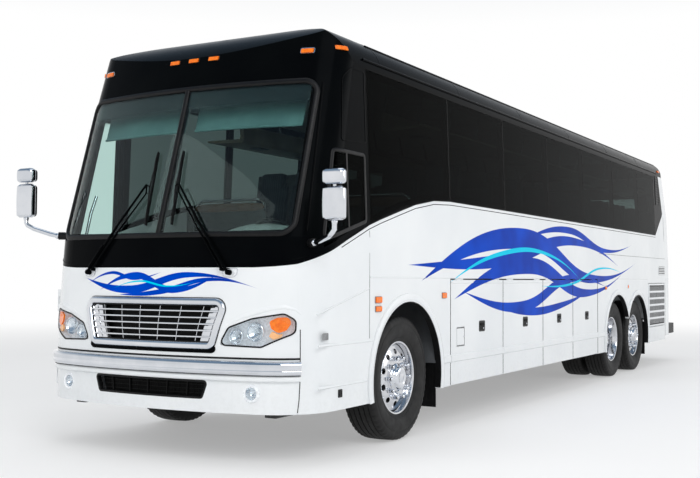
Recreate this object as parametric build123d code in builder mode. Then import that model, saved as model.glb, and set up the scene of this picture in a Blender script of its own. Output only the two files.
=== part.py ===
"""Three-axle coach, front facing -Y, driver's side +X, standing on z = 0. Millimetres.

Lengths along the coach are given as stations: the distance behind the front datum,
which st() turns into y. The origin is under the middle of the coach, on the ground.
"""
from build123d import *
from math import atan2, cos, sin, sqrt
import os

os.makedirs("parts", exist_ok=True)

# ---- overall size -------------------------------------------------------------------
LENGTH = 12190
BUMPER_REACH = 30            # front bar ahead of the front datum
DATUM = LENGTH / 2 - BUMPER_REACH
SKIRT = 378                  # lower edge of the body
WALL = 40                    # side walls, roof and caps
CROWN = 3400                 # roof on the centre line
ROOF_EDGE = (1000, 3305)     # where the crown meets the corner curve
WINDOW_TOP = 3015
BELT = 2070                  # lower edge of the side windows
MOULDING = 1356              # lower edge of the wall above the baggage doors
WAIST = 1655                 # windscreen foot, where the walls start to lean in

# ---- clearances ---------------------------------------------------------------------
SEAM = 8                     # round doors and panels that move
SEAT = 0.3                   # between pieces that bear on each other
GLASS = 6
REBATE = GLASS + SEAT        # depth of the step that flush glass lies in

# ---- hull sections: height, half width, nose set-back, nose bow, nose corner radius,
#      tail station, tail bow, tail corner radius --------------------------------------
SECTIONS = (
    (250, 1295, 15, 220, 480, 11960, 110, 350),
    (1000, 1295, 15, 220, 480, 11960, 110, 350),
    (1420, 1295, 70, 200, 450, 11960, 110, 350),
    (1655, 1295, 115, 180, 420, 11960, 110, 350),
    (2350, 1270, 324, 180, 370, 11950, 110, 340),
    (2870, 1250, 480, 180, 330, 11750, 110, 320),
    (3480, 1228, 664, 180, 330, 11500, 110, 320),
)
HALF_WIDTH = 1295
HALF_AT_WINDOW_TOP = 1245
CUT_HALF = 1500              # the roof's cutting profile stands wide of the walls
CUT_SHOULDER = 2300
CUT_IN = 300                 # cuts through one wall run between these
CUT_OUT = 1600
CUT_AHEAD = -200             # cuts through the ends run between these stations
CUT_BEHIND = LENGTH + 10
CUT_TOP = CROWN + 50
NOSE_DOME = ((555, 3120), (800, 3285), (1400, CROWN + 1))
TAIL_DOME = ((11350, CROWN + 1), (11480, 3370), (11580, 3250))

# ---- panel seams (stations and heights) ---------------------------------------------
CAP_SEAM = 290               # front panel to side wall
MASK_REAR = 1125             # black front mask to side wall and roof
TAIL_SEAM = 11330            # side wall to rear cap
BAR_FOOT = 662
BAR_TOP = 758
BAR_PROUD = BUMPER_REACH + 15

# ---- wheels and axles ---------------------------------------------------------------
TYRE_R = 522
TYRE_W = 298
RIM_R = 292                  # bead seat
FLANGE_R = 305
WHEEL_OUT = 1245             # outer face of every outer tyre
DUAL_PITCH = 345
FRONT_AXLE = 1787
DRIVE_AXLE = 8385
TAG_AXLE = 9566
KINGPIN_X = 1000
STUB_R = 45
ARCH_FRONT = (1815, 640)
ARCH_DRIVE = (8420, 620)
ARCH_TAG = (9520, 605)
ARCHES = (ARCH_FRONT, ARCH_DRIVE, ARCH_TAG)
LIP_W = 68                   # raised band round each wheel arch
LIP_PROUD = 14
SILL_Z = (588, 660)          # raised sill along the flank
SILL_PROUD = 12
SILL_Y = (2520, 7760)

# ---- doors --------------------------------------------------------------------------
BAY_SEAMS = (2680, 4000, 5240, 6350, 7420)
BAY_OPENING = (BAY_SEAMS[0] - SEAM / 2, BAY_SEAMS[-1] + SEAM / 2)
RADIATOR_DOOR = (10190, 11290, 610, 1300)
ENGINE_DOOR = (850, 640, 1760)
ENGINE_DOOR_DEPTH = (11400, CUT_BEHIND)
KNUCKLE_R = 5
KNUCKLE_L = 60
HINGE_STEP = 6               # hinge axis to each panel edge
HINGE_PROUD = 2              # hinge axis inside the skin

# ---- side windows -------------------------------------------------------------------
PANES = (1137, 2701, 4100, 5499, 6898, 8297, 9696, 10738)
PANE_GAP = 8
WINDOW_FRAME = 45

# ---- decks --------------------------------------------------------------------------
DECK = 1330
PLATFORM = 900
DECK_T = 40
BAY_FLOOR = 420
SIDE_CLEAR = 12              # decks and dividers to the doors' inner faces


def st(station):
    """Y coordinate of a distance behind the front datum."""
    return station - DATUM


def save(part, name):
    """Label a finished piece and write its STEP file."""
    part.label = name
    export_step(part, f"parts/{name}.step")


def inset_arc(half, bow, inset):
    """Half chord and bow of a bowed end's arc, moved inward by inset round the same centre."""
    radius = (half ** 2 + bow ** 2) / (2 * bow) - inset
    return half - inset, radius - sqrt(radius ** 2 - (half - inset) ** 2)


def hull(inset):
    """The closed outer body, moved inward by inset. It runs on below the skirt."""
    with BuildPart() as plan_loft:
        for z, half, nose, bow, r_nose, tail, tail_bow, r_tail in SECTIONS:
            x, bow_in = inset_arc(half, bow, inset)
            tail_bow_in = inset_arc(half, tail_bow, inset)[1]
            tip, corner = st(nose + inset), st(nose + inset + bow_in)
            end, end_corner = st(tail - inset), st(tail - inset - tail_bow_in)
            with BuildSketch(Plane.XY.offset(z - inset if z < SKIRT else z)):
                with BuildLine():
                    ThreePointArc((-x, corner), (0, tip), (x, corner))
                    Line((x, corner), (x, end_corner))
                    ThreePointArc((x, end_corner), (0, end), (-x, end_corner))
                    Line((-x, end_corner), (-x, corner))
                make_face()
                fillet(vertices().group_by(Axis.Y)[0], r_nose - inset)
                fillet(vertices().group_by(Axis.Y)[-1], r_tail - inset)
        loft(ruled=True)
    slope = 2 * atan2(CROWN - ROOF_EDGE[1], ROOF_EDGE[0])
    edge = (ROOF_EDGE[0] - inset * sin(slope), ROOF_EDGE[1] - inset * cos(slope))
    with BuildPart() as roof_bar:
        with BuildSketch(Plane.XZ.offset(-LENGTH)):
            with BuildLine():
                side = Polyline((CUT_HALF, 0), (CUT_HALF, CUT_SHOULDER),
                                (HALF_AT_WINDOW_TOP - inset, WINDOW_TOP))
                corner = TangentArc(side @ 1, edge,
                                    tangent=(HALF_AT_WINDOW_TOP - HALF_WIDTH, WINDOW_TOP - WAIST))
                ThreePointArc(corner @ 1, (0, CROWN - inset), (-edge[0], edge[1]))
                mirror(side, about=Plane.YZ)
                mirror(corner, about=Plane.YZ)
                Line((-CUT_HALF, 0), (CUT_HALF, 0))
            make_face()
        extrude(amount=2 * LENGTH)
    with BuildPart() as dome_bar:
        with BuildSketch(Plane.YZ.offset(-CUT_HALF)):
            with BuildLine():
                (y0, z0), (y1, z1), (y2, z2) = NOSE_DOME
                nose = ThreePointArc((st(y0 + inset), z0), (st(y1 + inset * 0.7), z1 - inset * 0.7),
                                     (st(y2), z2 - inset))
                (y0, z0), (y1, z1), (y2, z2) = TAIL_DOME
                tail = ThreePointArc((st(y0), z0 - inset), (st(y1 - inset * 0.7), z1 - inset * 0.7),
                                     (st(y2 - inset), z2))
                Line(nose @ 1, tail @ 0)
                Polyline(tail @ 1, (LENGTH, z2), (LENGTH, 0), (-LENGTH, 0), (-LENGTH, NOSE_DOME[0][1]),
                         nose @ 0)
            make_face()
        extrude(amount=2 * CUT_HALF)
    with BuildPart() as closed:
        add(plan_loft.part)
        add(roof_bar.part, mode=Mode.INTERSECT)
        add(dome_bar.part, mode=Mode.INTERSECT)
    return closed.part


def side_cut(outline, x0, x1, mode=Mode.SUBTRACT, bulge=None):
    """Cut with (station, height) corners drawn seen from the side, from x0 to x1.

    The closing edge is straight, or an arc through bulge.
    """
    corners = [(st(y), z) for y, z in outline]
    with BuildSketch(Plane.YZ.offset(x0)) as profile:
        with BuildLine():
            Polyline(*corners, close=bulge is None)
            if bulge:
                ThreePointArc(corners[-1], (st(bulge[0]), bulge[1]), corners[0])
        make_face()
    extrude(profile.sketch, amount=x1 - x0, mode=mode)


def front_cut(outline, y0, y1, mode=Mode.SUBTRACT, round_off=0):
    """Cut with (x, height) corners drawn seen from the front, between two stations."""
    with BuildSketch(Plane.XZ.offset(-st(y1))) as profile:
        with BuildLine():
            Polyline(*outline, close=True)
        make_face()
        if round_off:
            fillet(vertices(), round_off)
    extrude(profile.sketch, amount=y1 - y0, mode=mode)


def box(x, y, z, mode=Mode.ADD):
    """A block between pairs of x, station and height limits."""
    with BuildSketch(Plane.XY.offset(z[0])) as profile:
        with Locations(((x[0] + x[1]) / 2, st((y[0] + y[1]) / 2))):
            Rectangle(x[1] - x[0], y[1] - y[0])
    extrude(profile.sketch, amount=z[1] - z[0], mode=mode)


def rod(start, end, radius, mode=Mode.ADD):
    """A round bar between two (x, station, height) points."""
    a = Vector(start[0], st(start[1]), start[2])
    b = Vector(end[0], st(end[1]), end[2])
    with BuildSketch(Plane(a, z_dir=b - a)) as profile:
        Circle(radius)
    extrude(profile.sketch, amount=(b - a).length, mode=mode)


def both(points):
    """The outline and its mirror image across the middle of the coach."""
    return points, [(-x, z) for x, z in points]


# ---- the body's shell and skins -------------------------------------------------------
OUTER = hull(0)
with BuildPart() as shell:
    add(OUTER)
    add(hull(WALL), mode=Mode.SUBTRACT)
with BuildPart() as rebate_skin:
    add(hull(-WALL))
    add(hull(REBATE), mode=Mode.SUBTRACT)
with BuildPart() as glass_skin:
    add(OUTER)
    add(hull(GLASS), mode=Mode.SUBTRACT)
with BuildPart() as proud_skin:
    add(hull(-BAR_PROUD))
    add(hull(-SEAT), mode=Mode.SUBTRACT)

# The swept line between the black mask and the white flank, falling towards the front.
SWEEP = ((CUT_AHEAD, 1425), (160, 1430), (CAP_SEAM, 1455), (MASK_REAR, 1779))


def sweep_height(station):
    """Height of the straight run of the swept line."""
    (y0, z0), (y1, z1) = SWEEP[2], SWEEP[3]
    return z0 + (z1 - z0) * (station - y0) / (y1 - y0)


ROOF_SEAM = WINDOW_TOP + 25
MASK_FOOT = [*SWEEP[:3], (MASK_REAR, sweep_height(MASK_REAR))]

# ---- glazing outlines -----------------------------------------------------------------
SCREEN = [(20, 1690), (1100, 1705), (1080, 2835), (20, 2860)]
SCREEN_DEPTH = (CUT_AHEAD, 1100)
DRIVER_WINDOW = [(470, sweep_height(470) + 55), (1075, sweep_height(1075) + 55), (1075, 2320), (640, 2320)]
DOOR_FRONT = 330
DOOR_REAR = 1100
DOOR = [(DOOR_FRONT, SKIRT - 50), (DOOR_FRONT, 1300), (456, 1560), (806, 2850), (DOOR_REAR, 2850),
        (DOOR_REAR, SKIRT - 50)]
DOOR_HINGE_Y = DOOR_FRONT + HINGE_STEP
DOOR_HINGE_X = -1244
DOOR_HINGES = (560, 1160)
DOOR_ARM = 45                # the hinge stands off the rounded corner
DOOR_PANEL = [(DOOR_HINGE_Y + HINGE_STEP, SKIRT + SEAM), (DOOR_HINGE_Y + HINGE_STEP, 1302), (466, 1562),
              (815, 2850 - SEAM), (DOOR_REAR - SEAM, 2850 - SEAM), (DOOR_REAR - SEAM, SKIRT + SEAM)]
DOOR_WINDOW = [(440, 1345), (560, 1600), (840, 2740), (1035, 2740), (1035, 1345)]
REAR_WINDOW = [(-760, 2250), (760, 2250), (700, 2760), (-700, 2760)]
REAR_WINDOW_DEPTH = (11000, CUT_BEHIND)


PANE_FOOT = 1783             # front lower corner of the first pane, on the swept line
PANE_BULGE = (1900, 1985)    # the swept line behind it


def pane_outline(index, margin):
    """Corners of one side pane, drawn in from its seams by margin."""
    front, rear = PANES[index] + margin, PANES[index + 1] - margin
    foot, top = (PANE_FOOT if index == 0 else BELT) + margin, WINDOW_TOP - margin
    return [(rear, BELT + margin), (rear, top), (front, top), (front, foot)]


def pane_bulge(index, margin):
    """Point that the lower edge of the first pane bends through."""
    return (PANE_BULGE[0], PANE_BULGE[1] + margin) if index == 0 else None


# ---- hinges ---------------------------------------------------------------------------
def knuckles(axis_point, direction, stations, fixed, web):
    """Hinge knuckles on an axis. Fixed ones stand either side of each moving one.

    web is the vector from the axis to the panel edge that carries the knuckles.
    """
    start = Vector(axis_point[0], st(axis_point[1]), axis_point[2])
    along = Vector(*direction).normalized()
    arm = Vector(*web)
    for place in stations:
        if fixed:
            spans = ((place - KNUCKLE_L * 1.5, place - KNUCKLE_L / 2 - SEAT),
                     (place + KNUCKLE_L / 2 + SEAT, place + KNUCKLE_L * 1.5))
        else:
            spans = ((place - KNUCKLE_L / 2, place + KNUCKLE_L / 2),)
        for low, high in spans:
            plane = Plane(start + along * low, x_dir=arm, z_dir=along)
            with BuildSketch(plane) as profile:
                Circle(KNUCKLE_R)
                with Locations((arm.length / 2, 0)):
                    Rectangle(arm.length, KNUCKLE_R)
            extrude(profile.sketch, amount=high - low)


HINGE_REACH = HINGE_STEP + 10    # a knuckle's web runs this far, into its panel
BAY_HINGE_Z = MOULDING - HINGE_STEP
BAY_HINGE_X = HALF_WIDTH - HINGE_PROUD


def bay_knuckle_places(bay):
    """Stations of a baggage door's two hinges."""
    front, rear = BAY_SEAMS[bay], BAY_SEAMS[bay + 1]
    return (front + 200, rear - 200)


def skin_patch(skin, outline, x0, x1, bulge=None):
    """The part of a skin inside an outline seen from the side."""
    with BuildPart() as patch:
        add(skin)
        side_cut(outline, x0, x1, Mode.INTERSECT, bulge)
    return patch.part


def front_patch(skin, outline, y0, y1, round_off=0):
    """The part of a skin inside an outline seen from the front, between two stations."""
    with BuildPart() as patch:
        add(skin)
        front_cut(outline, y0, y1, Mode.INTERSECT, round_off)
    return patch.part


def window_rebate(side):
    """The shallow step in one wall that the flush side panes lie in."""
    half = PANE_GAP / 2
    front, rear, knee, top = PANES[0], PANES[-1] + half, PANES[1], WINDOW_TOP + half
    outline = [(knee, BELT - half), (rear, BELT - half), (rear, top), (front, top), (front, PANE_FOOT - half)]
    return skin_patch(rebate_skin.part, outline, CUT_IN * side, CUT_OUT * side, pane_bulge(0, -half))


def arch_discs(grow):
    """Circles of the wheel arches and the slots below them, grown by a margin, in the open sketch."""
    for centre, radius in ARCHES:
        with Locations((st(centre), TYRE_R)):
            Circle(radius + grow)
        with Locations((st(centre), 0)):
            Rectangle(2 * sqrt((radius + grow) ** 2 - (TYRE_R - SKIRT) ** 2), 2 * SKIRT + 1)


def sill(side, front, rear):
    """A length of the raised sill, between two stations."""
    x = sorted(((HALF_WIDTH - 1) * side, (HALF_WIDTH + SILL_PROUD) * side))
    with BuildPart() as strip:
        box(x, (front, rear), SILL_Z)
        chamfer(strip.edges().filter_by(Axis.Y).group_by(Axis.X)[-1 if side > 0 else 0], SILL_PROUD - 2)
    return strip.part


def side_wall(side):
    """Outer wall on one side, +1 for the driver's side."""
    with BuildPart() as wall:
        add(shell.part)
        front = CAP_SEAM if side > 0 else DOOR_REAR
        side_cut([(front, SKIRT), (front, sweep_height(front)), (MASK_REAR, sweep_height(MASK_REAR)),
                  (MASK_REAR, ROOF_SEAM), (TAIL_SEAM, ROOF_SEAM), (TAIL_SEAM, SKIRT)],
                 CUT_IN * side, CUT_OUT * side, Mode.INTERSECT)
        with BuildSketch(Plane.YZ.offset((HALF_WIDTH - 1) * side)) as band:
            arch_discs(LIP_W)
            with Locations((0, SKIRT - LENGTH)):
                Rectangle(LENGTH, 2 * LENGTH, mode=Mode.SUBTRACT)
        extrude(band.sketch, amount=(LIP_PROUD + 1) * side)
        for run in ((SILL_Y[0], BAY_OPENING[0]), (BAY_OPENING[1], SILL_Y[1])):
            add(sill(side, *run))
        with BuildSketch(Plane.YZ) as arches:
            arch_discs(0)
        extrude(arches.sketch, amount=CUT_OUT * side, mode=Mode.SUBTRACT)
        side_cut([(BAY_OPENING[0], SKIRT - 50), (BAY_OPENING[0], MOULDING),
                  (BAY_OPENING[1], MOULDING), (BAY_OPENING[1], SKIRT - 50)], 0, CUT_OUT * side)
        y0, y1, z0, z1 = RADIATOR_DOOR
        side_cut([(y0, z0), (y0, z1), (y1, z1), (y1, z0)], 0, CUT_OUT * side)
        for i in range(len(PANES) - 1):
            side_cut(pane_outline(i, WINDOW_FRAME), 0, CUT_OUT * side, bulge=pane_bulge(i, WINDOW_FRAME))
        add(window_rebate(side), mode=Mode.SUBTRACT)
        x = BAY_HINGE_X * side
        for bay in range(len(BAY_SEAMS) - 1):
            knuckles((x, 0, BAY_HINGE_Z), (0, 1, 0), bay_knuckle_places(bay), True, (0, 0, HINGE_REACH))
        knuckles((x, y0 + HINGE_STEP, 0), (0, 0, 1), (z0 + 120, z1 - 120), True, (0, -HINGE_REACH, 0))
    return wall.part


for name, side in (("side_wall_left", 1), ("side_wall_right", -1)):
    save(side_wall(side), name)

# ---- roof with its two hatch openings ---------------------------------------------------
HATCHES = {"roof_hatch_front": 3300, "roof_hatch_rear": 8700}
HATCH_HALF = 300
HATCH_LIP = 25
HATCH_T = 30
HATCH_HINGES = (-200, 200)
HATCH_HINGE_Y = -(HATCH_HALF + HATCH_LIP + 8)
with BuildPart() as roof:
    add(shell.part)
    side_cut([(MASK_REAR, ROOF_SEAM), (MASK_REAR, CUT_TOP), (TAIL_SEAM, CUT_TOP), (TAIL_SEAM, ROOF_SEAM)],
             -CUT_OUT, CUT_OUT, Mode.INTERSECT)
    for place in HATCHES.values():
        box((-HATCH_HALF, HATCH_HALF), (place - HATCH_HALF, place + HATCH_HALF), (CROWN - 200, CUT_TOP),
            Mode.SUBTRACT)
        # upstand that the lid bears on, with the hinge knuckles on its front edge
        box((-HATCH_HALF - HATCH_LIP, HATCH_HALF + HATCH_LIP),
            (place - HATCH_HALF - HATCH_LIP, place + HATCH_HALF + HATCH_LIP), (CROWN - 40, CROWN + 12))
        box((-HATCH_HALF, HATCH_HALF), (place - HATCH_HALF, place + HATCH_HALF), (CROWN - 200, CUT_TOP),
            Mode.SUBTRACT)
        knuckles((0, place + HATCH_HINGE_Y, CROWN + 18), (1, 0, 0), HATCH_HINGES, True, (0, 0, -30))
save(roof.part, "roof")

for name, place in HATCHES.items():
    with BuildPart() as hatch:
        edge = HATCH_HALF + HATCH_LIP
        with BuildSketch(Plane.XY.offset(CROWN + 12 + SEAT)):
            with Locations((0, st(place))):
                RectangleRounded(2 * edge, 2 * edge, 60)
        extrude(amount=HATCH_T)
        box((-HATCH_HALF + SEAM, HATCH_HALF - SEAM), (place - HATCH_HALF + 30, place + HATCH_HALF - SEAM),
            (CROWN - 20, CROWN + 14))
        knuckles((0, place + HATCH_HINGE_Y, CROWN + 18), (1, 0, 0), HATCH_HINGES, False, (0, 20, 0))
    save(hatch.part, name)

# ---- black front mask: band, screen surround, pillars and brow -----------------------------
with BuildPart() as front_mask:
    add(shell.part)
    side_cut([*MASK_FOOT, (MASK_REAR, CUT_TOP), (CUT_AHEAD, CUT_TOP)], -CUT_OUT, CUT_OUT, Mode.INTERSECT)
    for outline in both(SCREEN):
        front_cut(outline, *SCREEN_DEPTH, round_off=15)
    side_cut(DRIVER_WINDOW, CUT_IN, CUT_OUT)
    side_cut(DOOR, -CUT_IN, -CUT_OUT)
save(front_mask.part, "front_mask")

# ---- white front panel with the grille and lamp openings --------------------------------
GRILLE = [(-676, 1187), (676, 1187), (577, 845), (-577, 845)]
GRILLE_INNER = [(-640, 1156), (640, 1156), (549, 876), (-549, 876)]
GRILLE_BAR_ENDS = [(-645, 1161), (645, 1161), (555, 871), (-555, 871)]
GRILLE_HOLE = [(-652, 1168), (652, 1168), (561, 864), (-561, 864)]
GRILLE_PROUD = 24
LAMP = [(632, 868), (955, 858), (1165, 960), (1165, 1052), (1100, 1098), (880, 1060), (705, 995)]
LAMP_REAR = 700
with BuildPart() as front_panel:
    add(shell.part)
    side_cut([(CUT_AHEAD, 712), (CUT_AHEAD, SWEEP[0][1]), *SWEEP[1:3], (DOOR_FRONT, sweep_height(DOOR_FRONT)),
              (DOOR_FRONT, SKIRT), (CAP_SEAM, SKIRT), (CAP_SEAM, 712)], -CUT_OUT, CUT_OUT, Mode.INTERSECT)
    box((0, CUT_OUT), (CAP_SEAM, CAP_SEAM + 200), (0, 2000), Mode.SUBTRACT)
    front_cut(GRILLE_HOLE, -100, 900, round_off=12)
    for outline in both(LAMP):
        front_cut(outline, -100, LAMP_REAR, round_off=12)
    knuckles((DOOR_HINGE_X, DOOR_HINGE_Y, 0), (0, 0, 1), DOOR_HINGES, True, (DOOR_ARM, -HINGE_REACH, 0))
save(front_panel.part, "front_panel")

with BuildPart() as grille_skin:
    add(hull(-GRILLE_PROUD))
    add(hull(-SEAT), mode=Mode.SUBTRACT)
with BuildPart() as bar_skin:
    add(hull(-GRILLE_PROUD / 2))
    add(hull(20), mode=Mode.SUBTRACT)
GRILLE_BARS = 5
GRILLE_BAR_H = 26
GRILLE_SLATS = 5
SLAT_PITCH = 216
SLAT_T = 8
with BuildPart() as grille_bars:
    pitch = (GRILLE_INNER[0][1] - GRILLE_INNER[2][1]) / (GRILLE_BARS + 1)
    for row in range(1, GRILLE_BARS + 1):
        z = GRILLE_INNER[2][1] + pitch * row
        box((-700, 700), (-100, 300), (z - GRILLE_BAR_H / 2, z + GRILLE_BAR_H / 2))
    for column in range(GRILLE_SLATS):
        x = (column - (GRILLE_SLATS - 1) / 2) * SLAT_PITCH
        box((x - SLAT_T / 2, x + SLAT_T / 2), (-100, 300), (800, 1200))
    add(bar_skin.part, mode=Mode.INTERSECT)
    front_cut(GRILLE_BAR_ENDS, -200, 400, Mode.INTERSECT)
with BuildPart() as grille:
    add(grille_skin.part)
    front_cut(GRILLE, -200, 600, Mode.INTERSECT, round_off=30)
    front_cut(GRILLE_INNER, -300, 900, round_off=12)
    add(grille_bars.part)
save(grille.part, "grille")

# ---- bumper cover, bright bar ------------------------------------------------------------
BUMPER_SPLIT = 712
INTAKE = [(-538, 602), (538, 602), (495, 480), (-495, 480)]
FOG = (884, 525, 62)
with BuildPart() as front_bumper:
    add(shell.part)
    side_cut([(CUT_AHEAD, SKIRT), (CUT_AHEAD, BUMPER_SPLIT), (CAP_SEAM, BUMPER_SPLIT), (CAP_SEAM, SKIRT)],
             -CUT_OUT, CUT_OUT, Mode.INTERSECT)
    front_cut(INTAKE, -100, 500, round_off=12)
    for x in (-FOG[0], FOG[0]):
        rod((x, -100, FOG[1]), (x, 400, FOG[1]), FOG[2], Mode.SUBTRACT)
save(front_bumper.part, "front_bumper")

with BuildPart() as bumper_bar:
    add(proud_skin.part)
    side_cut([(CUT_AHEAD, BAR_FOOT), (CUT_AHEAD, BAR_TOP), (CAP_SEAM, BAR_TOP), (CAP_SEAM, BAR_FOOT)],
             -CUT_OUT, CUT_OUT, Mode.INTERSECT)
save(bumper_bar.part, "bumper_bar")

# ---- lamps -------------------------------------------------------------------------------
with BuildPart() as lamp_skin:
    add(hull(-3))
    add(hull(90), mode=Mode.SUBTRACT)
with BuildPart() as fog_lamps:
    add(lamp_skin.part)
    with BuildSketch(Plane.XZ.offset(-st(400))):
        with Locations((-FOG[0], FOG[1]), (FOG[0], FOG[1])):
            Circle(FOG[2] - SEAT)
    extrude(amount=600, mode=Mode.INTERSECT)
with BuildPart() as lamps:
    for outline in both(LAMP):
        add(front_patch(lamp_skin.part, outline, -200, CAP_SEAM - SEAT, round_off=12))
    add(fog_lamps.part)
save(lamps.part, "headlamps")

# ---- entrance door -----------------------------------------------------------------------
with BuildPart() as entrance_door:
    add(shell.part)
    side_cut(DOOR_PANEL, -CUT_IN, -CUT_OUT, Mode.INTERSECT)
    side_cut(DOOR_WINDOW, -CUT_IN, -CUT_OUT)
    knuckles((DOOR_HINGE_X, DOOR_HINGE_Y, 0), (0, 0, 1), DOOR_HINGES, False, (DOOR_ARM, HINGE_REACH, 0))
save(entrance_door.part, "entrance_door")
save(skin_patch(glass_skin.part, DOOR_WINDOW, -CUT_IN, -CUT_OUT), "entrance_door_glass")

# ---- side glazing --------------------------------------------------------------------------
for name, side in (("side_glass_left", 1), ("side_glass_right", -1)):
    with BuildPart() as panes:
        for i in range(len(PANES) - 1):
            add(skin_patch(glass_skin.part, pane_outline(i, PANE_GAP / 2), CUT_IN * side, CUT_OUT * side,
                           pane_bulge(i, PANE_GAP / 2)))
        if side > 0:
            add(skin_patch(glass_skin.part, DRIVER_WINDOW, CUT_IN, CUT_OUT))
    save(panes.part, name)

# ---- windscreen and rear window ---------------------------------------------------------------
with BuildPart() as end_glass:
    for outline in both(SCREEN):
        add(front_patch(glass_skin.part, outline, *SCREEN_DEPTH, round_off=15))
    add(front_patch(glass_skin.part, REAR_WINDOW, *REAR_WINDOW_DEPTH, round_off=60))
save(end_glass.part, "end_glass")

# ---- rear cap, engine door, rear bumper ----------------------------------------------------------
ENGINE_HINGE_Y = 11962
ENGINE_HINGE_Z = ENGINE_DOOR[2] - HINGE_STEP
ENGINE_HINGES = (-500, 500)
ENGINE_ARM = 40
PLATE_SPACING = (178, 121)
PLATE_Z = 900
PLATE_HOLE_R = 3.5
TAIL_LAMP = [(960, 880), (1300, 880), (1300, 1500), (960, 1500)]
TAIL_LAMP_DEPTH = (11700, CUT_BEHIND)
with BuildPart() as rear_cap:
    add(shell.part)
    side_cut([(TAIL_SEAM, SKIRT + 60), (TAIL_SEAM, CUT_TOP), (CUT_BEHIND, CUT_TOP), (CUT_BEHIND, SKIRT + 60)],
             -CUT_OUT, CUT_OUT, Mode.INTERSECT)
    x, z0, z1 = ENGINE_DOOR
    front_cut([(-x, z0), (x, z0), (x, z1), (-x, z1)], *ENGINE_DOOR_DEPTH)
    front_cut(REAR_WINDOW, *REAR_WINDOW_DEPTH, round_off=60)
    for outline in both(TAIL_LAMP):
        front_cut(outline, *TAIL_LAMP_DEPTH)
    knuckles((0, ENGINE_HINGE_Y, ENGINE_HINGE_Z), (1, 0, 0), ENGINE_HINGES, True, (0, -ENGINE_ARM, 22))
save(rear_cap.part, "rear_cap")

with BuildPart() as engine_door:
    add(shell.part)
    x, z0, z1 = ENGINE_DOOR
    front_cut([(-x + SEAM, z0 + SEAM), (x - SEAM, z0 + SEAM), (x - SEAM, z1 - 2 * HINGE_STEP),
               (-x + SEAM, z1 - 2 * HINGE_STEP)], *ENGINE_DOOR_DEPTH, Mode.INTERSECT)
    knuckles((0, ENGINE_HINGE_Y, ENGINE_HINGE_Z), (1, 0, 0), ENGINE_HINGES, False, (0, -ENGINE_ARM, -22))
    for x in (-PLATE_SPACING[0] / 2, PLATE_SPACING[0] / 2):
        for z in (PLATE_Z - PLATE_SPACING[1] / 2, PLATE_Z + PLATE_SPACING[1] / 2):
            rod((x, 11800, z), (x, 12100, z), PLATE_HOLE_R, Mode.SUBTRACT)
save(engine_door.part, "engine_door")

REAR_END = LENGTH - BUMPER_REACH
REAR_BUMPER_DEPTH = REAR_END - SECTIONS[0][5]
with BuildPart() as rear_bumper_skin:
    add(hull(-REAR_BUMPER_DEPTH))
    add(hull(-SEAT), mode=Mode.SUBTRACT)
REAR_BUMPER = (460, 625)
TOW_BORE = (-700, 12000, 543, 14)    # x, blind end, height, radius
with BuildPart() as rear_bumper:
    add(rear_bumper_skin.part)
    side_cut([(11400, REAR_BUMPER[0]), (11400, REAR_BUMPER[1]), (REAR_END, REAR_BUMPER[1]),
              (REAR_END, REAR_BUMPER[0])], -1290, 1290, Mode.INTERSECT)
    x, blind_end, height, radius = TOW_BORE
    rod((x, blind_end, height), (x, LENGTH, height), radius, Mode.SUBTRACT)
save(rear_bumper.part, "rear_bumper")

with BuildPart() as tail_lamps:
    for outline in both(TAIL_LAMP):
        add(front_patch(shell.part, outline, *TAIL_LAMP_DEPTH))
save(tail_lamps.part, "tail_lamps")

# ---- radiator doors on the flanks ---------------------------------------------------------------
y0, y1, z0, z1 = RADIATOR_DOOR
for name, side in (("radiator_door_left", 1), ("radiator_door_right", -1)):
    with BuildPart() as panel:
        add(shell.part)
        side_cut([(y0 + 2 * HINGE_STEP, z0 + SEAM), (y0 + 2 * HINGE_STEP, z1 - SEAM), (y1 - SEAM, z1 - SEAM),
                  (y1 - SEAM, z0 + SEAM)], CUT_IN * side, CUT_OUT * side, Mode.INTERSECT)
        knuckles((BAY_HINGE_X * side, y0 + HINGE_STEP, 0), (0, 0, 1), (z0 + 120, z1 - 120), False,
                 (0, HINGE_REACH, 0))
    save(panel.part, name)

# ---- baggage doors ------------------------------------------------------------------------------
FLAP = (2810, 3010, 725, 905)
FLAP_T = 12
for side_name, side in (("left", 1), ("right", -1)):
    for bay in range(len(BAY_SEAMS) - 1):
        front, rear = BAY_SEAMS[bay] + SEAM / 2, BAY_SEAMS[bay + 1] - SEAM / 2
        with BuildPart() as door:
            add(shell.part)
            top = MOULDING - 2 * HINGE_STEP
            side_cut([(front, SKIRT + 4), (front, top), (rear, top), (rear, SKIRT + 4)],
                     CUT_IN * side, CUT_OUT * side, Mode.INTERSECT)
            add(sill(side, front, rear))
            knuckles((BAY_HINGE_X * side, 0, BAY_HINGE_Z), (0, 1, 0), bay_knuckle_places(bay), False,
                     (0, 0, -HINGE_REACH))
        save(door.part, f"baggage_door_{side_name}_{bay + 1}")

# filler flap in the first door on the driver's side
y0, y1, z0, z1 = FLAP
FLAP_HINGE = (BAY_HINGE_X, y0 + HINGE_STEP, 0)
FLAP_MIDDLE = ((z0 + z1) / 2,)
with BuildPart() as filler_flap:
    box((HALF_WIDTH - FLAP_T, HALF_WIDTH), (y0 + 2 * HINGE_STEP, y1 - SEAM), (z0 + SEAM, z1 - SEAM))
    knuckles(FLAP_HINGE, (0, 0, 1), FLAP_MIDDLE, False, (0, HINGE_REACH, 0))
save(filler_flap.part, "filler_flap")
with BuildPart() as flap_door:
    add(import_step("parts/baggage_door_left_1.step"))
    box((HALF_WIDTH - FLAP_T - SEAM, HALF_WIDTH + 50), (y0, y1), (z0, z1), Mode.SUBTRACT)
    knuckles(FLAP_HINGE, (0, 0, 1), FLAP_MIDDLE, True, (0, -HINGE_REACH, 0))
save(flap_door.part, "baggage_door_left_1")

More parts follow.
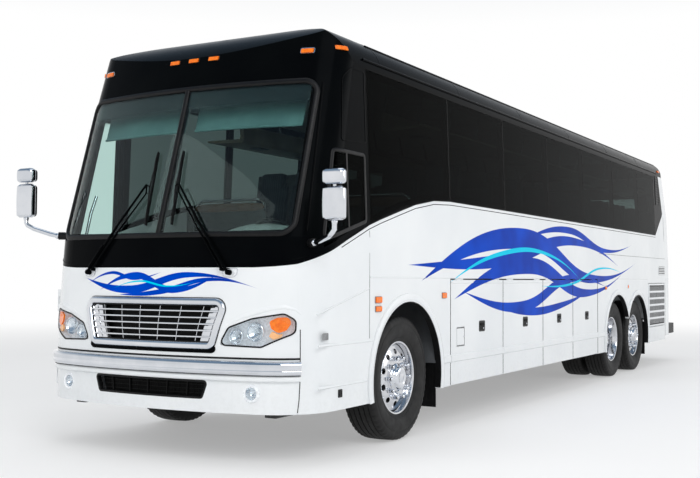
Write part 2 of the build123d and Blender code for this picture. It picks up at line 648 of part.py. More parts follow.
# ---- decks ---------------------------------------------------------------------------------------
with BuildPart() as cabin_core:
    add(hull(WALL + SEAT))
STEP_RISER = 1930
WELL = (-1300, -640, DOOR_FRONT + 20, DOOR_REAR)
HOUSE_X = 570
HOUSE = (1140, 2460)
HOUSE_TOP = 1200
HOUSE_FOOT = 600             # above the front axle beam
SHEET = 20
DOOR_SWEEP = 85              # radius that the door's inner edge sweeps round its hinge
with BuildPart() as deck:
    box((-1300, 1300), (STEP_RISER + SHEET + SEAT, 11200), (DECK - DECK_T, DECK))
    add(cabin_core.part, mode=Mode.INTERSECT)
    for side in (-1, 1):
        x = sorted(((HALF_WIDTH - WALL - SIDE_CLEAR) * side, CUT_OUT * side))
        for low, high in (BAY_OPENING, RADIATOR_DOOR[:2]):
            box(x, (low - SEAM, high + SEAM), (DECK - DECK_T - 1, DECK + 1), Mode.SUBTRACT)
with BuildPart() as platform:
    box((-1300, 1300), (330, STEP_RISER + SHEET), (PLATFORM - DECK_T, PLATFORM))
    box((-1300, 1300), (STEP_RISER, STEP_RISER + SHEET), (PLATFORM - DECK_T, DECK))
    # step between the platform and the passenger deck
    box((-280, 280), (STEP_RISER - 300, STEP_RISER + SHEET), (PLATFORM, (PLATFORM + DECK) / 2))
    # entrance well with two treads
    box((-1300, WELL[1]), WELL[2:], (0, PLATFORM + 50), Mode.SUBTRACT)
    box((-1235, WELL[1] - 280), (WELL[2], WELL[3]), (400, 430))
    box((WELL[1] - 300, WELL[1] - 280), WELL[2:], (400, 665))
    box((WELL[1] - 300, WELL[1]), WELL[2:], (635, 665))
    box((WELL[1] - SHEET, WELL[1]), WELL[2:], (635, PLATFORM))
    box((-1235, WELL[1]), (WELL[3], WELL[3] + SHEET), (400, PLATFORM))
    # wheel housings over the steered wheels
    for side in (-1, 1):
        x = sorted((HOUSE_X * side, 1300 * side))
        box(x, HOUSE, (HOUSE_FOOT, HOUSE_TOP), Mode.SUBTRACT)
        box(x, HOUSE, (HOUSE_FOOT, HOUSE_TOP))
        inside = sorted(((HOUSE_X + SHEET) * side, 1320 * side))
        box(inside, (HOUSE[0] + SHEET, HOUSE[1] - SHEET), (HOUSE_FOOT - 50, HOUSE_TOP - SHEET), Mode.SUBTRACT)
    rod((DOOR_HINGE_X, DOOR_HINGE_Y, 0), (DOOR_HINGE_X, DOOR_HINGE_Y, 2000), DOOR_SWEEP, Mode.SUBTRACT)
    add(cabin_core.part, mode=Mode.INTERSECT)
with BuildPart() as cabin_floor:
    add(deck.part)
    add(platform.part)
save(cabin_floor.part, "cabin_floor")

# ---- chassis: rails, cross-members, bay floor and bulkheads --------------------------------------
RAIL_X = (430, 510)
RAIL_Z = (620, 760)
BULKHEAD_T = 24
BULKHEAD_Z = (BAY_FLOOR - 20, DECK - DECK_T - SEAT)
RAIL_RUNS = ((380, BAY_SEAMS[0] - BULKHEAD_T - SEAT), (BAY_SEAMS[-1] + BULKHEAD_T + SEAT, 11700))
CROSS_Z = (620, 680)
CROSSES = (900, 2400, 7700, 8975, 10380, 11300)
JACK_PAD = (55, 10)          # half size and height
JACK_PADS = (2560, 9950)
with BuildPart() as chassis:
    for side in (-1, 1):
        x = sorted((RAIL_X[0] * side, RAIL_X[1] * side))
        for run in RAIL_RUNS:
            box(x, run, RAIL_Z)
        for place in JACK_PADS:
            middle = sum(x) / 2
            box((middle - JACK_PAD[0], middle + JACK_PAD[0]), (place - JACK_PAD[0], place + JACK_PAD[0]),
                (RAIL_Z[0] - JACK_PAD[1], RAIL_Z[0]))
    for place in CROSSES:
        box((-RAIL_X[1], RAIL_X[1]), (place - 40, place + 40), CROSS_Z)
    # front cross-beam behind the bumper cover
    box((-620, 620), (330, 380), (500, 760))
save(chassis.part, "chassis")

with BuildPart() as bay_structure:
    half = HALF_WIDTH - WALL - SIDE_CLEAR
    wide = HALF_WIDTH - WALL - SEAT
    dividers = [(place - BULKHEAD_T / 2, place + BULKHEAD_T / 2) for place in BAY_SEAMS[1:-1]]
    ends = ((BAY_SEAMS[0] - BULKHEAD_T, BAY_OPENING[0]), (BAY_OPENING[1], BAY_SEAMS[-1] + BULKHEAD_T))
    for run in dividers:
        box((-half, half), run, BULKHEAD_Z)
    for run in ends:
        box((-wide, wide), run, BULKHEAD_Z)
    # one floor to each bay, between its uprights
    walls = [ends[0], *dividers, ends[1]]
    for before, after in zip(walls, walls[1:]):
        box((-half, half), (before[1] + SEAT, after[0] - SEAT), (BAY_FLOOR - 20, BAY_FLOOR))
save(bay_structure.part, "bay_structure")

with BuildPart() as engine:
    box((-400, 400), (CROSSES[-2] - 100, CROSSES[-1] + 100), (CROSS_Z[1], 1240))
save(engine.part, "engine")

# ---- running gear ----------------------------------------------------------------------------------
HUB_Z = TYRE_R
TYRE_X = WHEEL_OUT - TYRE_W / 2
DUAL_X = TYRE_X - DUAL_PITCH
DUAL_MIDDLE = (TYRE_X + DUAL_X) / 2
BEAD = RIM_R + SEAT
BEAD_HALF = 107
FLANGE_T = 8
FLANGE_HALF = BEAD_HALF + SEAT + FLANGE_T
SHOULDER = (26, 12)          # tread edge in from the side wall and down from the tread


def wheel_plane(station):
    """Plane whose local x is the axle and local y is up, centred on the hub."""
    return Plane(origin=(0, st(station), HUB_Z), x_dir=(1, 0, 0), z_dir=(0, -1, 0))


def hub_axis(station):
    """Axle line at a station."""
    return Axis((0, st(station), HUB_Z), (1, 0, 0))


def tyres(station, centres):
    """Tyres centred on the given x values."""
    half = TYRE_W / 2
    with BuildPart() as made:
        for x in centres:
            with BuildSketch(wheel_plane(station)):
                with BuildLine():
                    edge, drop = half - SHOULDER[0], TYRE_R - SHOULDER[1]
                    foot, belly = FLANGE_R + 1, BEAD + 104
                    wall = ThreePointArc((x + BEAD_HALF, foot), (x + half, belly), (x + edge, drop))
                    other = ThreePointArc((x - BEAD_HALF, foot), (x - half, belly), (x - edge, drop))
                    ThreePointArc(wall @ 1, (x, TYRE_R), other @ 1)
                    Polyline(wall @ 0, (x + BEAD_HALF, BEAD), (x - BEAD_HALF, BEAD), other @ 0)
                make_face()
            revolve(axis=hub_axis(station))
    return made.part


HUB_R = 118
HAND_HOLES = 10
HAND_HOLE_R = 27
HAND_HOLE_PITCH_R = 207
DISC_T = 14
RIM_T = 9
BORE_R = STUB_R + SEAT


def rims(station, side, centres, disc_x, hub_span, bore_end):
    """Rims on the given x values with one disc, its hand holes and its hub.

    side is +1 or -1; the other arguments are distances from the middle of the coach.
    """
    with BuildPart() as made:
        with BuildSketch(wheel_plane(station)):
            for x in centres:
                with Locations((x * side, RIM_R - RIM_T / 2)):
                    Rectangle(2 * FLANGE_HALF, RIM_T)
                for end in (-1, 1):
                    flange_x = (x + end * (FLANGE_HALF - FLANGE_T / 2)) * side
                    with Locations((flange_x, (FLANGE_R + RIM_R - RIM_T) / 2)):
                        Rectangle(FLANGE_T, FLANGE_R - RIM_R + RIM_T)
            if len(centres) > 1:
                with Locations((sum(centres) / 2 * side, RIM_R - RIM_T * 1.5)):
                    Rectangle(centres[0] - centres[1], RIM_T)
            with Locations((disc_x * side, (RIM_R - RIM_T / 2 + STUB_R) / 2)):
                Rectangle(DISC_T, RIM_R - RIM_T / 2 - STUB_R)
            with Locations((sum(hub_span) / 2 * side, HUB_R / 2)):
                Rectangle(hub_span[1] - hub_span[0], HUB_R)
        revolve(axis=hub_axis(station))
        with BuildSketch(Plane.YZ.offset((disc_x - 40) * side)):
            with Locations((st(station), HUB_Z)):
                with PolarLocations(HAND_HOLE_PITCH_R, HAND_HOLES):
                    Circle(HAND_HOLE_R)
        extrude(amount=80 * side, mode=Mode.SUBTRACT)
        with BuildSketch(Plane.YZ.offset((hub_span[0] - 1) * side)):
            with Locations((st(station), HUB_Z)):
                Circle(BORE_R)
        extrude(amount=(bore_end - hub_span[0] + 1) * side, mode=Mode.SUBTRACT)
    return made.part


SINGLE_DISC = TYRE_X + 62
SINGLE_HUB = (TYRE_X - 18, TYRE_X + 130)
SINGLE_BORE = TYRE_X + 96
DUAL_HUB = (DUAL_MIDDLE - 60, TYRE_X + 70)
DUAL_BORE = DUAL_MIDDLE + 60
for side_name, side in (("left", 1), ("right", -1)):
    for axle, station in (("front", FRONT_AXLE), ("tag", TAG_AXLE)):
        save(tyres(station, [TYRE_X * side]), f"{axle}_tyre_{side_name}")
        save(rims(station, side, [TYRE_X], SINGLE_DISC, SINGLE_HUB, SINGLE_BORE), f"{axle}_rim_{side_name}")
    save(tyres(DRIVE_AXLE, [TYRE_X * side, DUAL_X * side]), f"drive_tyres_{side_name}")
    pair = rims(DRIVE_AXLE, side, [TYRE_X, DUAL_X], DUAL_MIDDLE, DUAL_HUB, DUAL_BORE)
    save(pair, f"drive_rims_{side_name}")

BEAM = (94, 50)              # height and half depth of the front axle beam
BOSS_R = 45
PIN_R = 20
EAR_T = 40
EAR_GAP = 6
BOSS_HALF = 57
PLATE_X = KINGPIN_X + BOSS_R + 7
with BuildPart() as axles:
    box((-KINGPIN_X, KINGPIN_X), (FRONT_AXLE - BEAM[1], FRONT_AXLE + BEAM[1]),
        (HUB_Z - BEAM[0] / 2, HUB_Z + BEAM[0] / 2))
    for side in (-1, 1):
        x = KINGPIN_X * side
        ends = sorted((x, x + 80 * side))
        box(ends, (FRONT_AXLE - 60, FRONT_AXLE + 60), (HUB_Z - 60, HUB_Z + 60), Mode.SUBTRACT)
    for side in (-1, 1):
        x = KINGPIN_X * side
        rod((x, FRONT_AXLE, HUB_Z - BOSS_HALF), (x, FRONT_AXLE, HUB_Z + BOSS_HALF), BOSS_R)
        pin = BOSS_HALF + EAR_GAP + EAR_T + 10
        rod((x, FRONT_AXLE, HUB_Z - pin), (x, FRONT_AXLE, HUB_Z + pin), PIN_R)
        for station, tube, end, tip in ((DRIVE_AXLE, 75, DUAL_HUB[0] - 6, DUAL_BORE - 8),
                                        (TAG_AXLE, 60, SINGLE_HUB[0] - 6, SINGLE_BORE - 8)):
            rod((0, station, HUB_Z), (end * side, station, HUB_Z), tube)
            rod((end * side, station, HUB_Z), (tip * side, station, HUB_Z), STUB_R)
        for station, low in ((FRONT_AXLE, HUB_Z + 20), (DRIVE_AXLE, HUB_Z), (TAG_AXLE, HUB_Z)):
            box(sorted((RAIL_X[0] * side, RAIL_X[1] * side)), (station - 45, station + 45), (low, RAIL_Z[0]))
    rod((-180, DRIVE_AXLE, HUB_Z), (180, DRIVE_AXLE, HUB_Z), 190)
save(axles.part, "axles")

for side_name, side in (("left", 1), ("right", -1)):
    x = KINGPIN_X * side
    with BuildPart() as knuckle:
        inner = BOSS_HALF + EAR_GAP
        for low in (HUB_Z - inner - EAR_T, HUB_Z + inner):
            rod((x, FRONT_AXLE, low), (x, FRONT_AXLE, low + EAR_T), 42)
            box(sorted((x, (PLATE_X + 20) * side)), (FRONT_AXLE - 35, FRONT_AXLE + 35), (low, low + EAR_T))
            rod((x, FRONT_AXLE, low - 1), (x, FRONT_AXLE, low + EAR_T + 1), PIN_R + SEAT, Mode.SUBTRACT)
        box(sorted((PLATE_X * side, (PLATE_X + 20) * side)), (FRONT_AXLE - 45, FRONT_AXLE + 45),
            (HUB_Z - inner - EAR_T, HUB_Z + inner + EAR_T))
        rod(((PLATE_X + 10) * side, FRONT_AXLE, HUB_Z), ((SINGLE_BORE - 8) * side, FRONT_AXLE, HUB_Z), STUB_R)
    save(knuckle.part, f"knuckle_{side_name}")

# ---- mirrors: side, base height, elbow height, lower and upper head spans ---------------------------
MIRRORS = ((1, 1610, 1672, (1758, 2000), (2008, 2126)), (-1, 1700, 1786, (1852, 2140), (2148, 2272)))
MIRROR_X = 1510
MIRROR_Y = 215
MIRROR_HEAD = (180, 100)
with BuildPart() as seat_hull:
    add(hull(-SEAT))
with BuildPart() as mirrors:
    for side, base, elbow, lower, upper in MIRRORS:
        rod((1190 * side, 400, base), (1275 * side, 340, base), 30)
        rod((1270 * side, 343, base), (MIRROR_X * side, MIRROR_Y, elbow), 13)
        rod((MIRROR_X * side, MIRROR_Y, elbow - 8), (MIRROR_X * side, MIRROR_Y, upper[0] + 40), 13)
        for low, high in (lower, upper):
            with BuildSketch(Plane.XY.offset(low)) as plan:
                with Locations((MIRROR_X * side, st(MIRROR_Y))):
                    RectangleRounded(*MIRROR_HEAD, 45)
            extrude(amount=high - low)
    add(seat_hull.part, mode=Mode.SUBTRACT)
save(mirrors.part, "mirrors")

# ---- wipers: parked blade at x, foot and top height; its arm's pivot ---------------------------------
WIPERS = ((-140, 1750, 2336, (-680, 1390)), (115, 1750, 2330, (680, 1390)))


def screen_station(x, z):
    """Station of the windscreen's face at x and a height above the waist."""
    low, high = SECTIONS[3], SECTIONS[5]
    t = (z - low[0]) / (high[0] - low[0])
    nose = low[2] + (high[2] - low[2]) * t
    return nose + low[3] * (x / low[1]) ** 2


with BuildPart() as wipers:
    for x, foot, top, (px, pz) in WIPERS:
        middle = (foot + top) / 2
        arm_x = x * 0.8
        elbow = (arm_x, screen_station(arm_x, middle) - 48, middle)
        rod((x, screen_station(x, foot) - 22, foot), (x, screen_station(x, top) - 22, top), 11)
        rod((px, 180, pz), (px, 60, pz), 24)
        rod((px, 75, pz), elbow, 10)
        rod((px * 0.9, 75, pz + 10), (arm_x, screen_station(arm_x, middle) - 48, middle + 10), 7)
        rod(elbow, (x, screen_station(x, middle) - 22, middle), 10)
    add(seat_hull.part, mode=Mode.SUBTRACT)
save(wipers.part, "wipers")

# ---- marker lamps: x, station, height ------------------------------------------------------------------
BROW_LAMPS = (-1000, -195, 0, 195, 1000)
with BuildPart() as lamp_cover:
    add(hull(-14))
    add(seat_hull.part, mode=Mode.SUBTRACT)
with BuildPart() as marker_lamps:
    for x in BROW_LAMPS:
        box((x - 45, x + 45), (400, 900), (3080, 3110))
    for side in (-1, 1):
        ends = sorted((1000 * side, 1400 * side))
        box(ends, (790, 880), (3115, 3145))
        box(ends, (11150, 11240), (3115, 3145))
        box(ends, (1245, 1300), (1172, 1197))
        box(ends, (2510, 2560), (1190, 1218))
        box(ends, (7780, 7830), (1225, 1250))
    add(lamp_cover.part, mode=Mode.INTERSECT)
save(marker_lamps.part, "marker_lamps")

# ---- mud flaps: front edge station -----------------------------------------------------------------------
FLAP_X = (950, 1250)
with BuildPart() as mud_flaps:
    for side in (-1, 1):
        x = sorted((FLAP_X[0] * side, FLAP_X[1] * side))
        box(x, (HOUSE[1] + SEAT, HOUSE[1] + 10), (200, 760))
        box(x, (10130, 10140), (200, 760))
        box(sorted(((RAIL_X[1] + SEAT) * side, 1250 * side)), (10140, 10170), (640, 700))
save(mud_flaps.part, "mud_flaps")

# ---- interior ----------------------------------------------------------------------------------------------
SEAT_ROWS = tuple(2600 + 870 * row for row in range(10))
SEAT_X = (330, 1180)
with BuildPart() as seats:
    for side in (-1, 1):
        x = sorted((SEAT_X[0] * side, SEAT_X[1] * side))
        for front in SEAT_ROWS:
            side_cut([(front, DECK + 300), (front, DECK + 440), (front + 400, DECK + 440),
                      (front + 520, DECK + 1120), (front + 620, DECK + 1120), (front + 520, DECK + 300)],
                     x[0], x[1], Mode.ADD)
            box((x[0] + 350, x[1] - 350), (front + 150, front + 400), (DECK, DECK + 301))
    # the driver's seat on its pedestal
    side_cut([(820, PLATFORM + 400), (820, PLATFORM + 520), (1180, PLATFORM + 520), (1280, PLATFORM + 1260),
              (1380, PLATFORM + 1260), (1290, PLATFORM + 400)], 480, 960, Mode.ADD)
    box((600, 840), (900, 1120), (PLATFORM, PLATFORM + 401))
save(seats.part, "seats")

RACK_Z = (2700, 2760)
with BuildPart() as luggage_racks:
    for side in (-1, 1):
        x = sorted((780 * side, 1300 * side))
        box(x, (2300, 10900), RACK_Z)
        box(sorted((780 * side, 800 * side)), (2300, 10900), (RACK_Z[0], RACK_Z[1] + 120))
    add(cabin_core.part, mode=Mode.INTERSECT)
save(luggage_racks.part, "luggage_racks")

WHEEL_HUB = (720, 720, 1640)
with BuildPart() as cab_fittings:
    side_cut([(300, 1130), (300, 1560), (560, 1600), (600, 1500), (520, 1450), (480, 1130)],
             -560, 1240, Mode.ADD)
    box((-40, 40), (440, 500), (PLATFORM, 1140))
    rod((WHEEL_HUB[0], 500, 1400), WHEEL_HUB, 32)
    tilt = Plane(Vector(WHEEL_HUB[0], st(WHEEL_HUB[1]), WHEEL_HUB[2]), x_dir=(1, 0, 0), z_dir=(0, 1, 1.1))
    with BuildSketch(tilt):
        Circle(235)
        Circle(205, mode=Mode.SUBTRACT)
        Rectangle(420, 40)
        Circle(50)
    extrude(amount=22)
    add(cabin_core.part, mode=Mode.INTERSECT)
save(cab_fittings.part, "cab_fittings")
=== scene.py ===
"""Looks of the three-axle coach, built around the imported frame. Metres, front towards -Y.

A station is a distance behind the front datum. Outlines and paths are (across or station, height) points,
profiles are (across, out) points, and turned shapes are (along, radius) points.
"""
import bpy
import bmesh
from math import atan2, cos, hypot, pi, radians, sin, sqrt
from mathutils import Matrix, Vector


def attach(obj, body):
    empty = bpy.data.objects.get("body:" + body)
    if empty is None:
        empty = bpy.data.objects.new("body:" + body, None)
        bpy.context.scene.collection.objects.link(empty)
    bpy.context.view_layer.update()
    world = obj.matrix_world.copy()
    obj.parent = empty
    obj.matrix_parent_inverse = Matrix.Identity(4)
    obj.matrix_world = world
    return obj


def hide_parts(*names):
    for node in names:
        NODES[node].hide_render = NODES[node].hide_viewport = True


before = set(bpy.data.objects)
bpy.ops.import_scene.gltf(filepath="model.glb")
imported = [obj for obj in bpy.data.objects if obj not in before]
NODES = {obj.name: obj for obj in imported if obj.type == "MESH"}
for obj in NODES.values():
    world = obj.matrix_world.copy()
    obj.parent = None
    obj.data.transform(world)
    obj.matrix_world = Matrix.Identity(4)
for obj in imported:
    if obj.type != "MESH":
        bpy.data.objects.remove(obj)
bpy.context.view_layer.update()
BODY = "coach_body"
SIDES = (("left", 1), ("right", -1))
DATUM = 6.065                # station of the frame's origin
NOSE_HALF = 1.2949           # just inside the half width, where the nose's curve ends
TINY = 1e-5                  # points nearer than this are one
UP, BACK = Vector((0, 0, 1)), Vector((0, 1, 0))


def st(station):
    """Y of a distance behind the front datum."""
    return station - DATUM


# ------------------------------------------------------------------ camera
CAMERA_AT = Vector((5.13366, st(-5.93187), 1.35640))
YAW, PITCH, ROLL = 0.517292, 0.038170, 0.0046741
FOCAL_PX, FRAME_PX, SENSOR = 1023.19, 700, 36

forward = Vector((-sin(YAW) * cos(PITCH), cos(YAW) * cos(PITCH), sin(PITCH)))
level = forward.cross(UP).normalized()
upward = level.cross(forward)
right = level * cos(ROLL) + upward * sin(ROLL)
above = upward * cos(ROLL) - level * sin(ROLL)
camera = bpy.data.objects.new("camera", bpy.data.cameras.new("camera"))
camera.data.sensor_width = SENSOR
camera.data.lens = FOCAL_PX / FRAME_PX * SENSOR
camera.data.clip_end = 200
camera.matrix_world = Matrix((right, above, -forward)).transposed().to_4x4()
camera.matrix_world.translation = CAMERA_AT
bpy.context.scene.collection.objects.link(camera)
bpy.context.scene.camera = camera

# ------------------------------------------------------------------ the body's surface
# height, half width, nose set-back, nose bow, nose corner radius, tail, tail bow, tail corner
SECTIONS = (
    (.250, 1.295, .015, .220, .480, 11.960, .110, .350),
    (1.000, 1.295, .015, .220, .480, 11.960, .110, .350),
    (1.420, 1.295, .070, .200, .450, 11.960, .110, .350),
    (1.655, 1.295, .115, .180, .420, 11.960, .110, .350),
    (2.350, 1.270, .324, .180, .370, 11.950, .110, .340),
    (2.870, 1.250, .480, .180, .330, 11.750, .110, .320),
    (3.480, 1.228, .664, .180, .330, 11.500, .110, .320))


def section(z):
    """The hull's plan sizes at a height."""
    for low, high in zip(SECTIONS, SECTIONS[1:]):
        if z <= high[0] or high is SECTIONS[-1]:
            t = (z - low[0]) / (high[0] - low[0])
            return [a + (b - a) * t for a, b in zip(low, high)]


def end_depth(x, half, bow, corner):
    """How far a bowed end with rounded corners falls back at x."""
    x = min(abs(x), half - 1e-4)
    bend = (half * half + bow * bow) / (2 * bow)
    cx = half - corner
    cy = bend - sqrt((bend - corner) ** 2 - cx * cx)
    if x <= cx * bend / (bend - corner):
        return bend - sqrt(bend * bend - x * x)
    return cy - sqrt(max(corner ** 2 - (x - cx) ** 2, 0))


def outward(face, x, z, sign):
    """Normal of an end's surface by small differences. Its y has the sign's side."""
    e = .002
    n = (face(x + e, z) - face(x - e, z)).cross(face(x, z + e) - face(x, z - e)).normalized()
    return n if n.y * sign > 0 else -n


def nose_station(x, z):
    """Station of the front at x and a height."""
    half, set_back, bow, corner = section(z)[1:5]
    return set_back + end_depth(x, half, bow, corner)


def tail(x, z):
    """Point on the back at x and a height."""
    half, end, bow, corner = section(z)[1], *section(z)[5:8]
    return Vector((x, st(end - end_depth(x, half, bow, corner)), z))


def nose(x, z, off=0.0):
    """Point on the front, moved out by off."""
    def face(u, v):
        return Vector((u, st(nose_station(u, v)), v))
    return face(x, z) + outward(face, x, z, -1) * off


def stern(x, z, off=0.0):
    """Point on the back, moved out by off."""
    return tail(x, z) + outward(tail, x, z, 1) * off


def flank(y, z, side, off=0.0):
    """Point on a flank, moved out by off."""
    return Vector((side * (section(z)[1] + off), st(y), z))


def wall(side):
    """The flank of one side as a surface of stations and heights."""
    return lambda y, z, off=0.0: flank(y, z, side, off)


HALVINGS = 40                # of the span in which cheek() looks for a point


def cheek(side):
    """The side of the front, where the corner bends, as a surface of stations and heights."""
    def place(y, z, off=0.0):
        low, high = 0.0, NOSE_HALF
        if nose_station(high, z) < y:
            return flank(y, z, side, off)
        for _ in range(HALVINGS):
            mid = (low + high) / 2
            low, high = (mid, high) if nose_station(mid, z) < y else (low, mid)
        p = nose(low, z, off)
        return Vector((side * p.x, p.y, p.z))
    return place


# ------------------------------------------------------------------ mesh helpers
def new_object(name, verts, faces):
    """A mesh object whose double points are joined and whose normals point outward."""
    mesh = bpy.data.meshes.new(name)
    mesh.from_pydata([tuple(v) for v in verts], [], faces)
    bm = bmesh.new()
    bm.from_mesh(mesh)
    bmesh.ops.remove_doubles(bm, verts=bm.verts, dist=TINY)
    bmesh.ops.recalc_face_normals(bm, faces=bm.faces)
    bm.to_mesh(mesh)
    bm.free()
    obj = bpy.data.objects.new(name, mesh)
    bpy.context.scene.collection.objects.link(obj)
    return obj


# The finishes that a slot of the record covers
SLOT_FINISHES = {
    "white_paint": "white_paint_flank white_paint_front white_paint_plain white_paint_door white_paint_rear",
    "black_paint": "black_paint black_gloss", "black_trim": "black_trim louvre_black", "grey_louvre": "louvre_grey",
    "clear_lens": "lamp_clear lamp_reflector lamp_bezel"}
SAME_NAME = ("chrome polished_alloy black_rubber tyre_rubber amber_lens red_lens tinted_glass screen_glass "
             "chassis_steel axle_iron floor_vinyl dash_plastic rack_plastic seat_cloth bay_lining").split()
SLOTS = {name: slot for slot, names in SLOT_FINISHES.items() for name in names.split()}
SLOTS.update((name, name) for name in SAME_NAME)


class Shape:
    """Collects solids into one mesh."""

    def __init__(self):
        self.verts, self.faces = [], []

    def add(self, verts, faces):
        base = len(self.verts)
        self.verts += [Vector(v) for v in verts]
        self.faces += [[i + base for i in f] for f in faces]
        return self

    def rings(self, rings, closed=False, caps=True, loop=True):
        """Skins a list of equal rings of points. The rings are closed loops unless loop is false."""
        n, count = len(rings[0]), len(rings)
        faces = []
        for i in range(count if closed else count - 1):
            j = (i + 1) % count
            faces += [[i * n + k, i * n + (k + 1) % n, j * n + (k + 1) % n, j * n + k]
                      for k in range(n if loop else n - 1)]
        if caps and not closed:
            faces += [list(range(n))[::-1], [(count - 1) * n + k for k in range(n)]]
        return self.add([p for ring in rings for p in ring], faces)

    def sweep(self, path, normals, profile, closed=False):
        """Carries a profile along a path. The normals say which way is out."""
        rings = []
        count = len(path)
        for i, (p, out) in enumerate(zip(path, normals)):
            before = path[i - 1] if i or closed else p
            after = path[(i + 1) % count] if i < count - 1 or closed else p
            along = (after - before).normalized()
            across = along.cross(out).normalized()
            out = across.cross(along).normalized()
            rings.append([p + across * a + out * b for a, b in profile])
        return self.rings(rings, closed)

    def strip(self, place, points, profile, closed=False, off=0.0):
        """Carries a profile along points of a surface."""
        return self.sweep(*on(place, points, off), profile, closed)

    def strips(self, place, paths, profile, off=0.0):
        """Carries a profile along several open paths on a surface."""
        for points in paths:
            self.strip(place, points, profile, off=off)
        return self

    def tube(self, points, radius, sides=10, closed=False):
        """A round bar along points. radius is a number or one for each point."""
        points = [Vector(p) for p in points]
        radii = radius if hasattr(radius, "__len__") else [radius] * len(points)
        rings = []
        guide = None
        for i, p in enumerate(points):
            before = points[i - 1] if i or closed else p
            after = points[(i + 1) % len(points)] if i < len(points) - 1 or closed else p
            along = (after - before).normalized()
            guide = guide or along.orthogonal().normalized()
            guide = (guide - along * guide.dot(along)).normalized()
            other = along.cross(guide)
            rings.append([p + (guide * cos(a) + other * sin(a)) * radii[i] for a in turns(sides)])
        return self.rings(rings, closed)

    def lathe(self, profile, centre, axis, sides=48):
        """Turns a profile round an axis through a centre."""
        axis = Vector(axis).normalized()
        u = axis.orthogonal().normalized()
        w = axis.cross(u)
        return self.rings([[Vector(centre) + axis * s + (u * cos(a) + w * sin(a)) * r for s, r in profile]
                           for a in turns(sides)], closed=True)

    def block(self, low, high, bevel=.004):
        """A box with its edges broken."""
        bm = bmesh.new()
        bmesh.ops.create_cube(bm, size=1)
        size = [h - l for l, h in zip(low, high)]
        for v in bm.verts:
            v.co = Vector([(l + h) / 2 + c * s for l, h, c, s in zip(low, high, v.co, size)])
        bmesh.ops.bevel(bm, geom=bm.edges[:], offset=min(bevel, min(size) * .45), segments=2,
                        affect='EDGES', profile=.5)
        return self.bmesh(bm)

    def bmesh(self, bm):
        bm.verts.ensure_lookup_table()
        bm.verts.index_update()
        self.add([v.co.copy() for v in bm.verts], [[v.index for v in f.verts] for f in bm.faces])
        bm.free()
        return self

    def slab(self, outline, place, thick, back=0.0):
        """A plate on a surface, with its back face moved out by back."""
        n = len(outline)
        faces = [list(range(n)), [n + k for k in range(n)][::-1]]
        faces += [[k, n + k, n + (k + 1) % n, (k + 1) % n] for k in range(n)]
        return self.add([place(a, b, off) for off in (back + thick, back) for a, b in outline], faces)

    def moved(self, matrix):
        return Shape().add([matrix @ v for v in self.verts], self.faces)

    def make(self, name, material, body=BODY, smooth=30, stands_for=None):
        """The finished piece, riding on its body and the CAD node that it stands for."""
        obj = new_object(name, self.verts, self.faces)
        obj.data.shade_smooth()
        obj.data.set_sharp_from_angle(angle=radians(smooth))
        obj.data.materials.append(material)
        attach(obj, body)
        if stands_for:
            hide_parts(stands_for)
        return obj


def turns(count):
    """Angles of a full turn in equal steps."""
    return [2 * pi * k / count for k in range(count)]


def spread(a, b, count):
    """Numbers from a to b in equal steps."""
    return [a + (b - a) * k / count for k in range(count + 1)]


def on(place, points, off=0.0):
    """Points on a surface and their outward normals."""
    return ([place(a, b, off) for a, b in points],
            [(place(a, b, .1) - place(a, b)).normalized() for a, b in points])


def even(*steps):
    """A profile that is the same on both sides of its middle, from its first half."""
    return [(-a, b) for a, b in steps] + [(a, b) for a, b in reversed(steps) if a]


def rounded(corners, radius, steps=6):
    """A closed outline with its corners rounded."""
    out = []
    n = len(corners)
    for i in range(n):
        p0, p1, p2 = (Vector(corners[j % n]) for j in (i - 1, i, i + 1))
        a, b = (p0 - p1).normalized(), (p2 - p1).normalized()
        half = a.angle(b) / 2
        r = radius[i] if hasattr(radius, "__len__") else radius
        d = min(r / max(sin(half) / cos(half), 1e-3), (p0 - p1).length * .49, (p2 - p1).length * .49)
        r = d * sin(half) / cos(half)
        centre = p1 + (a + b).normalized() * (r / sin(half))
        start = p1 + a * d - centre
        end = p1 + b * d - centre
        turn = atan2(start.x * end.y - start.y * end.x, start.dot(end))
        out += [(centre.x + start.x * cos(t) - start.y * sin(t), centre.y + start.x * sin(t) + start.y * cos(t))
                for t in spread(0, turn, steps)]
    return out


def oblong(a0, a1, b0, b1, radius, steps=5):
    """A rectangle with rounded corners."""
    return rounded([(a0, b0), (a1, b0), (a1, b1), (a0, b1)], radius, steps)


def centred(a, b, width, height, radius, steps=5):
    """A rounded rectangle about its middle."""
    return oblong(a - width / 2, a + width / 2, b - height / 2, b + height / 2, radius, steps)


def densify(points, step, closed=True):
    """Adds points so that none are further apart than step."""
    out = []
    n = len(points)
    for i in range(n if closed else n - 1):
        a, b = points[i], points[(i + 1) % n]
        count = max(1, int(hypot(b[0] - a[0], b[1] - a[1]) / step + .999))
        out += [(a[0] + (b[0] - a[0]) * k / count, a[1] + (b[1] - a[1]) * k / count) for k in range(count)]
    return out if closed else out + [points[-1]]


# ------------------------------------------------------------------ materials
def srgb(r, g, b):
    """Linear colour of an 0-255 display colour."""
    return tuple(((c / 255 + .055) / 1.055) ** 2.4 if c > 10 else c / 255 / 12.92 for c in (r, g, b)) + (1,)


